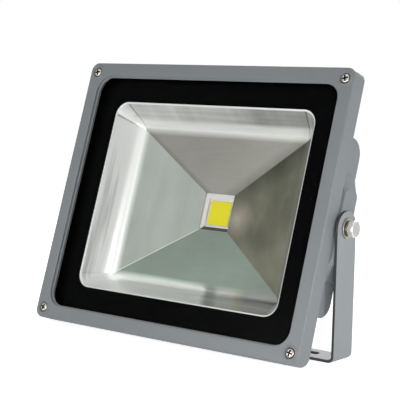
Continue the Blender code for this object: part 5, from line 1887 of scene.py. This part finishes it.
# The bracket
@dataclass
class Bracket:
    """U-shaped sheet bracket with round arm ends, bent corners and two slots in its base."""

    half_width: float = 148.0
    sheet: float = 2.5
    band: float = 28.0
    bend: float = 5.5
    slot_centre: float = 110.0
    slot_length: float = 30.0
    slot_width: float = 10.0
    bolt_hole: float = 4.4
    edge: float = 0.35
    bend_steps: int = 16
    arm_steps: int = 48

    def strip(self) -> Piece:
        """Bend a strip of sheet that is wider and longer than the bracket.

        Returns:
            The strip.
        """
        top = LAMP.pivot_height + self.band
        corner = self.half_width - self.bend
        outer = [(self.half_width, top)]
        inner = [(self.half_width - self.sheet, top)]
        for step in range(self.bend_steps + 1):
            angle = math.radians(90 * step / self.bend_steps)
            across, down = math.cos(angle), math.sin(angle)
            outer.append((corner + self.bend * across, self.bend - self.bend * down))
            inside = self.bend - self.sheet
            inner.append((corner + inside * across, self.bend - inside * down))
        outer += [(-across, up) for across, up in reversed(outer)]
        inner += [(-across, up) for across, up in reversed(inner)]
        draft = Draft()
        rows = [[draft.mesh.verts.new((across, along, up)) for across, up in outer + inner[::-1]]
                for along in (-self.band, self.band)]
        draft.skin(*rows)
        for row in rows:
            for index in range(len(row) // 2 - 1):
                draft.mesh.faces.new((row[index], row[index + 1], row[-2 - index], row[-1 - index]))
        return draft.done("bracket_sheet", BRACKET_MATRIX)

    def outline(self) -> Piece:
        """Stretch the bracket's side view into a block: straight edges under a full round end.

        Returns:
            The block.
        """
        reach = self.band / 2
        arc = [(reach * math.cos(math.pi * step / self.arm_steps),
                LAMP.pivot_height + reach * math.sin(math.pi * step / self.arm_steps))
               for step in range(self.arm_steps + 1)]
        side = [(reach, -1.0), *arc, (-reach, -1.0)]
        reach = self.half_width + 1
        return Draft().prism(side, -reach, reach, on_side).done("outline", BRACKET_MATRIX)

    def cuts(self) -> Piece:
        """Make the tools for the bolt holes in the arms and the slots in the base.

        Returns:
            The tools as one object.
        """
        cuts = Draft()
        for side, facing in ((-1, Facing.LEFT), (1, Facing.RIGHT)):
            place = Matrix.Translation((0, 0, LAMP.pivot_height)) @ facing.turn
            cuts.rod(self.bolt_hole, self.half_width - self.sheet - 2, self.half_width + 2, place)
            size = (self.slot_length / 2, self.slot_width / 2, self.slot_width / 2 - 0.01)
            cuts.loft([(*size, -1.0), (*size, self.sheet + 1)], steps=12, lay=on_base,
                      centre=(side * self.slot_centre, 0.0))
        return cuts.done("cuts", BRACKET_MATRIX)

    def mark_cut_edges(self, sheet: Piece) -> None:
        """Mark the faces that stand square to the sheet, where it was sheared or punched, for painted shade.

        Args:
            sheet: The bracket.
        """
        marks = sheet.data.attributes.new(SHEET_COAT.cut_edge, "FLOAT", "FACE")
        foot, corner = self.bend * MM, (self.half_width - self.bend) * MM
        for face in sheet.data.polygons:
            if face.center.z > foot:
                facing = abs(face.normal.x)
            elif abs(face.center.x) < corner:
                facing = abs(face.normal.z)
            else:
                facing = face.normal.xz.length
            marks.data[face.index].value = float(facing < 0.5)

    def build(self) -> None:
        """Make the bracket."""
        sheet = self.strip()
        combine(sheet, self.outline(), Shaping.TRIM)
        combine(sheet, self.cuts(), Shaping.CUT)
        soften(sheet, self.edge, 3, 50.0)
        self.mark_cut_edges(sheet)
        dress(shade(sheet), SHEET_COAT, BRACKET, ["yoke"])


@dataclass
class TiltHardware:
    """Hexagon bolts, split washers and flat washers on the tilt axis."""

    start: float = 148.0
    gap: float = 0.3
    flat_radius: float = 8.5
    flat_thickness: float = 1.3
    spring_radius: float = 6.5
    spring_thickness: float = 1.6
    spring_split: float = 16.0
    spring_steps: int = 56
    bolt_radius: float = 4.0
    bolt_flats: float = 13.0
    bolt_head: float = 4.7
    bolt_end: float = 121.0
    end_shade: float = 0.36
    punched_edge: float = 0.35

    def axis(self, facing: Facing) -> Matrix:
        """Tilt axis towards one side, in bracket axes."""
        return Matrix.Translation((0, 0, LAMP.pivot_height)) @ facing.turn

    def build_bolts(self) -> None:
        """Make both bolts with a node tree: a hexagon cut by a cone, and a shank."""
        maker = Maker("tilt_bolts")
        flats = maker.size("Across flats", self.bolt_flats)
        height = maker.size("Head height", self.bolt_head)
        shank = maker.size("Shank radius", self.bolt_radius)
        seat = self.start + 3 * self.gap + self.flat_thickness + self.spring_thickness
        span = maker.size("Half span", seat)
        grip = maker.size("Grip", seat - self.bolt_end)
        prism = maker.add("GeometryNodeMeshCylinder", {
            "Vertices": 6, "Radius": flats * (1 / math.sqrt(3)), "Depth": height,
        })
        cone = maker.add("GeometryNodeMeshCone", {
            "Vertices": 60, "Radius Top": flats * 0.45, "Radius Bottom": flats * 0.45 + height * math.sqrt(3),
            "Depth": height,
        })
        cone = maker.moved(cone, maker.vector(0.0, 0.0, height * -0.5))
        head = maker.add("GeometryNodeMeshBoolean", {"Mesh 2": [prism, cone]}, operation="INTERSECT",
                         solver="EXACT")
        head = maker.moved(head, maker.vector(0.0, 0.0, height * 0.5), Vector((0.0, 0.0, math.pi / 6)))
        rod = maker.add("GeometryNodeMeshCylinder", {"Vertices": 40, "Radius": shank, "Depth": grip})
        rod = maker.moved(rod, maker.vector(0.0, 0.0, grip * -0.5 + 0.2))
        bolt = maker.add("GeometryNodeJoinGeometry", {"Geometry": [head, rod]})
        bolt = maker.moved(bolt, maker.vector(0.0, 0.0, span))
        middle = Vector((0.0, 0.0, 0.0))
        ends = maker.add("GeometryNodeMeshLine",
                         {"Count": 2, "Start Location": middle, "Offset": middle}, mode="OFFSET")
        which = maker.add("GeometryNodeInputIndex", {})
        side = maker.vector(0.0, which * math.pi + math.pi / 2, 0.0)
        placed = maker.add("GeometryNodeInstanceOnPoints",
                           {"Points": ends, "Instance": bolt, "Rotation": side})
        where = Matrix.Translation((0, 0, LAMP.pivot_height))
        bolts = shade(maker.run(placed, BRACKET_MATRIX @ where, BRIGHT_ZINC), 25.0)
        # Painted shade on the bolts' end faces, through the plate's recess attribute.
        end_face_shade = bolts.data.attributes.new(BRIGHT_ZINC.recess, "FLOAT", "FACE")
        for face in bolts.data.polygons:
            end_face_shade.data[face.index].value = self.end_shade if abs(face.normal.x) > 0.98 else 0.0
        dress(bolts, BRIGHT_ZINC, HEAD, ["pivot_bolt_left", "pivot_bolt_right"])

    def build_flat_washers(self) -> None:
        """Make the two flat washers, with punched edges."""
        washers = Draft()
        start = self.start + self.gap
        end = start + self.flat_thickness
        hole = self.bolt_radius + self.gap
        for facing in (Facing.LEFT, Facing.RIGHT):
            profile = [(hole, start), (self.flat_radius, start), (self.flat_radius, end - self.punched_edge),
                       (self.flat_radius - 0.12, end - 0.12), (self.flat_radius - self.punched_edge, end),
                       (hole, end)]
            washers.turned(profile, self.axis(facing), 64, ring=True)
        piece = washers.done("flat_washers", BRACKET_MATRIX)
        dress(shade(piece), DULL_ZINC, BRACKET, ["flat_washer_left", "flat_washer_right"])

    def build_spring_washers(self) -> None:
        """Make the two split washers, whose ends stand apart at the split."""
        washers = Draft()
        start = self.start + 2 * self.gap + self.flat_thickness
        end = start + self.spring_thickness
        inner = self.bolt_radius + self.gap
        sweep = math.radians(360 - self.spring_split)
        section = [(inner, start), (self.spring_radius, start), (self.spring_radius, end), (inner, end)]
        for facing in (Facing.LEFT, Facing.RIGHT):
            place = self.axis(facing)
            rings = []
            for step in range(self.spring_steps + 1):
                turn = place @ Matrix.Rotation(sweep * step / self.spring_steps, 4, "Z")
                rings.append([washers.mesh.verts.new(turn @ Vector((radius, 0.0, height)))
                              for radius, height in section])
            for first, second in zip(rings, rings[1:]):
                washers.skin(first, second)
            washers.mesh.faces.new(rings[0])
            washers.mesh.faces.new(rings[-1])
        piece = soften(washers.done("split_washers", BRACKET_MATRIX), 0.18, 2, 50.0)
        dress(shade(piece), DARK_STEEL, HEAD,
              ["spring_washer_left", "spring_washer_right"])


# The cable inlet
@dataclass
class CableGland:
    """Cap nut of the nylon cable gland under the chamber."""

    back: float = 76.0
    flats: float = 20.0
    grip: float = 7.0
    dome: float = 4.6
    dome_foot: float = 0.6
    dome_sweep: float = 80.0
    dome_steps: int = 8
    bore: float = 5.2
    nose: float = 8.7
    crown_depth: float = 3.2

    @property
    def axis(self) -> Matrix:
        """The gland's axis, downwards in lamp axes."""
        return Matrix.Translation((0, self.back, 0)) @ Facing.DOWN.turn

    def on_axis(self, across: float, up: float, along: float) -> Vector:
        """Section point of a bar on the gland's axis."""
        return self.axis @ Vector((across, up, along))

    def hexagon(self, start: float, end: float) -> Piece:
        """Stretch a hexagon bar along the axis.

        Args:
            start: Height of one end.
            end: Height of the other.

        Returns:
            The bar.
        """
        corner = self.flats / math.sqrt(3)
        angles = [math.radians(60 * n + 30) for n in range(6)]
        outline = [(corner * math.cos(angle), corner * math.sin(angle)) for angle in angles]
        return Draft().prism(outline, start, end, self.on_axis).done("hexagon")

    def build_nut(self) -> None:
        """Make the cap nut: hexagon grip and round dome over the seal."""
        low, high = LAMP.box("gland_nut")
        start = -high.z
        end = -low.z
        nut = soften(self.hexagon(start, start + self.grip), 0.7, 3, 30.0)
        nut.name = "gland_cap_nut"
        edge = self.flats / 2 - 0.8
        foot = start + self.grip + self.dome_foot
        sweep = math.radians(self.dome_sweep)
        profile = [(0.0, start + 1.0), (edge, start + 1.0), (edge, foot)]
        for step in range(1, self.dome_steps + 1):
            angle = sweep * step / self.dome_steps
            profile.append((edge - self.dome * (1 - math.cos(angle)),
                            foot + (end - foot) * math.sin(angle) / math.sin(sweep)))
        profile.append((0.0, end))
        combine(nut, Draft().turned(profile, self.axis).done("dome"), Shaping.JOIN)
        crown = end - self.crown_depth
        hole = [(0.0, start - 1), (self.nose, start - 1), (self.nose, crown), (self.bore, crown),
                (self.bore, end - 0.6), (self.bore + 0.6, end), (self.bore + 0.6, end + 1), (0.0, end + 1)]
        combine(nut, Draft().turned(hole, self.axis).done("bore"), Shaping.CUT)
        dress(shade(nut), BLACK_NYLON, HEAD, ["gland_nut"])


# Inner pieces
class InnerPieces:
    """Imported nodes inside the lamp, which keep their shape and get their finish."""

    FINISHES: Mapping[Finish, Sequence[str]] = {
        GREY_SILICONE: ("glass_seal", "chamber_gasket"),
        BASE_METAL: ("cob_base",),
        CASE_METAL: ("driver",),
        ZINC: ("cob_screw_1", "cob_screw_2", "cob_screw_3", "cob_screw_4",
               "driver_screw_1", "driver_screw_2"),
        RED_JACKET: ("lead_positive",),
        BLACK_JACKET: ("lead_negative",),
        BLACK_NYLON: ("gland_body", "gland_locknut"),
        BLACK_RUBBER: ("gland_washer", "gland_seal"),
    }

    def dress(self) -> None:
        """Give every inner node its finish."""
        for finish, nodes in self.FINISHES.items():
            for node in nodes:
                mesh = frame["nodes"][node].data
                mesh.materials.clear()
                mesh.materials.append(finish.material())
                log.info("%s keeps its packed shape", node)


# Studio
@dataclass
class Studio:
    """Pale floor, white surroundings, soft lamps and the camera at the photograph's angle."""

    azimuth: float = 37.865
    elevation: float = 5.776
    roll: float = 1.4
    distance: float = 1074.88
    shift_right: float = -1.55
    shift_up: float = 10.8
    focal_length: float = 110.71
    sensor: float = 36.0
    floor_half: float = 6.0
    floor_tone: float = 0.80
    floor_lift: float = 0.82
    ambient: float = 0.25

    def build_camera(self) -> None:
        """Place the camera by its direction, roll and distance from the tilt axis."""
        turn, rise, roll = (math.radians(a) for a in (self.azimuth, self.elevation, self.roll))
        back = Vector((math.sin(turn) * math.cos(rise), -math.cos(turn) * math.cos(rise), math.sin(rise)))
        right = Vector((math.cos(turn), math.sin(turn), 0.0))
        up = back.cross(right)
        aim = Vector((0.0, 0.0, LAMP.pivot_height))
        eye = aim + back * self.distance + right * self.shift_right + up * self.shift_up
        across = right * math.cos(roll) + up * math.sin(roll)
        above = up * math.cos(roll) - right * math.sin(roll)
        lens = bpy.data.cameras.new("camera")
        lens.lens = self.focal_length
        lens.sensor_width = self.sensor
        lens.clip_start = 0.01
        camera = bpy.data.objects.new("camera", lens)
        facing = Matrix((across, above, back)).transposed().to_4x4()
        camera.matrix_world = Matrix.Translation(eye * MM) @ facing
        bpy.context.scene.collection.objects.link(camera)
        bpy.context.scene.camera = camera

    def in_view(self, tree: Tree) -> Field:
        """Tell what is seen, straight, in gloss or through glass, from what only lights.

        Args:
            tree: The tree that asks.

        Returns:
            1 for what is seen and 0 for the rest.
        """
        rays = tree.place("ShaderNodeLightPath", {}).outputs
        seen = Field(tree, rays["Is Camera Ray"])
        for kind in ("Is Glossy Ray", "Is Transmission Ray"):
            seen = seen.maths("MAXIMUM", Field(tree, rays[kind]))
        return seen

    def build_world(self) -> None:
        """Even pale surroundings, white to the camera, to gloss and through glass."""
        world = bpy.data.worlds.new("studio")
        world.use_nodes = True
        bpy.context.scene.world = world
        tree = Tree(world.node_tree)
        seen = self.in_view(tree)
        background = world.node_tree.nodes["Background"]
        background.inputs["Color"].default_value = (1.0, 1.0, 1.0, 1.0)
        tree.connect(background.inputs["Strength"], seen * (1 - self.ambient) + self.ambient)

    def build_lamp(self, name: str, place: Sequence[float], aim: Sequence[float], size: float,
                   power: float) -> None:
        """Add one soft square lamp.

        Args:
            name: Its name.
            place: Where it hangs, in metres.
            aim: Where it points, in metres.
            size: Side of its square, in metres.
            power: Its power in watts.
        """
        light = bpy.data.lights.new(name, "AREA")
        light.shape = "SQUARE"
        light.size = size
        light.energy = power
        lamp = bpy.data.objects.new(name, light)
        lamp.visible_camera = False
        facing = Vector(aim) - Vector(place)
        lamp.matrix_world = Matrix.Translation(place) @ facing.to_track_quat("-Z", "Y").to_matrix().to_4x4()
        bpy.context.scene.collection.objects.link(lamp)

    def build_floor(self) -> None:
        """Lay the floor under the bracket, white where it is seen but for the object's shadow."""
        mesh = bpy.data.meshes.new("floor")
        half = self.floor_half
        mesh.from_pydata([(-half, -half, 0.0), (half, -half, 0.0), (half, half, 0.0), (-half, half, 0.0)], [],
                         [(0, 1, 2, 3)])
        floor = bpy.data.objects.new("floor", mesh)
        bpy.context.scene.collection.objects.link(floor)
        material = bpy.data.materials.new("floor_paint")
        shading = Shading(material)
        tone = self.floor_tone
        grain = shading.noise(shading.places(), 0.02, 2.0)
        shading.set(Base_Color=shading.blend(grain, (tone * 0.98,) * 3, (tone * 1.02,) * 3), Roughness=0.9,
                    Specular_IOR_Level=0.1, Emission_Strength=self.floor_lift,
                    Emission_Color=shading.blend(self.in_view(shading), (0.0,) * 3, (1.0,) * 3))
        mesh.materials.append(material)

    def build(self) -> None:
        """Set the whole studio up."""
        self.build_camera()
        self.build_world()
        self.build_floor()
        self.build_lamp("front_right_softbox", (0.47, -0.38, 0.10), (0.12, 0.0, 0.02), 0.19, 0.95)
        self.build_lamp("front_softbox", (-0.14, -0.62, 0.07), (-0.08, 0.0, 0.0), 0.36, 1.7)
        self.build_lamp("right_softbox", (0.72, 0.04, 0.12), (0.14, 0.0, 0.06), 0.12, 1.0)
        self.build_lamp("top_softbox", (0.0, -0.45, 1.3), (0.0, 0.0, 0.1), 0.5, 0.9)
        self.build_lamp("rear_softbox", (-0.30, 0.80, 0.45), (0.0, 0.05, 0.1), 0.5, 3.4)
        bpy.context.scene.view_settings.view_transform = "Standard"
        log.info("studio ready")


def main() -> None:
    """Build the looks, sub-assembly by sub-assembly."""
    logging.basicConfig(level=logging.INFO, format="%(message)s")
    Studio().build()
    front = FrontFrame()
    front.build()
    front.build_screws()
    window = Window()
    window.build_pane()
    window.build_print()
    Reflector().build()
    emitter = Emitter()
    emitter.build_frame()
    emitter.build_gel()
    emitter.build_dots()
    Housing(front).build()
    lid = ChamberLid()
    lid.build()
    lid.build_screws()
    Bracket().build()
    hardware = TiltHardware()
    hardware.build_bolts()
    hardware.build_flat_washers()
    hardware.build_spring_washers()
    CableGland().build_nut()
    InnerPieces().dress()


if __name__ == "__main__":
    main()
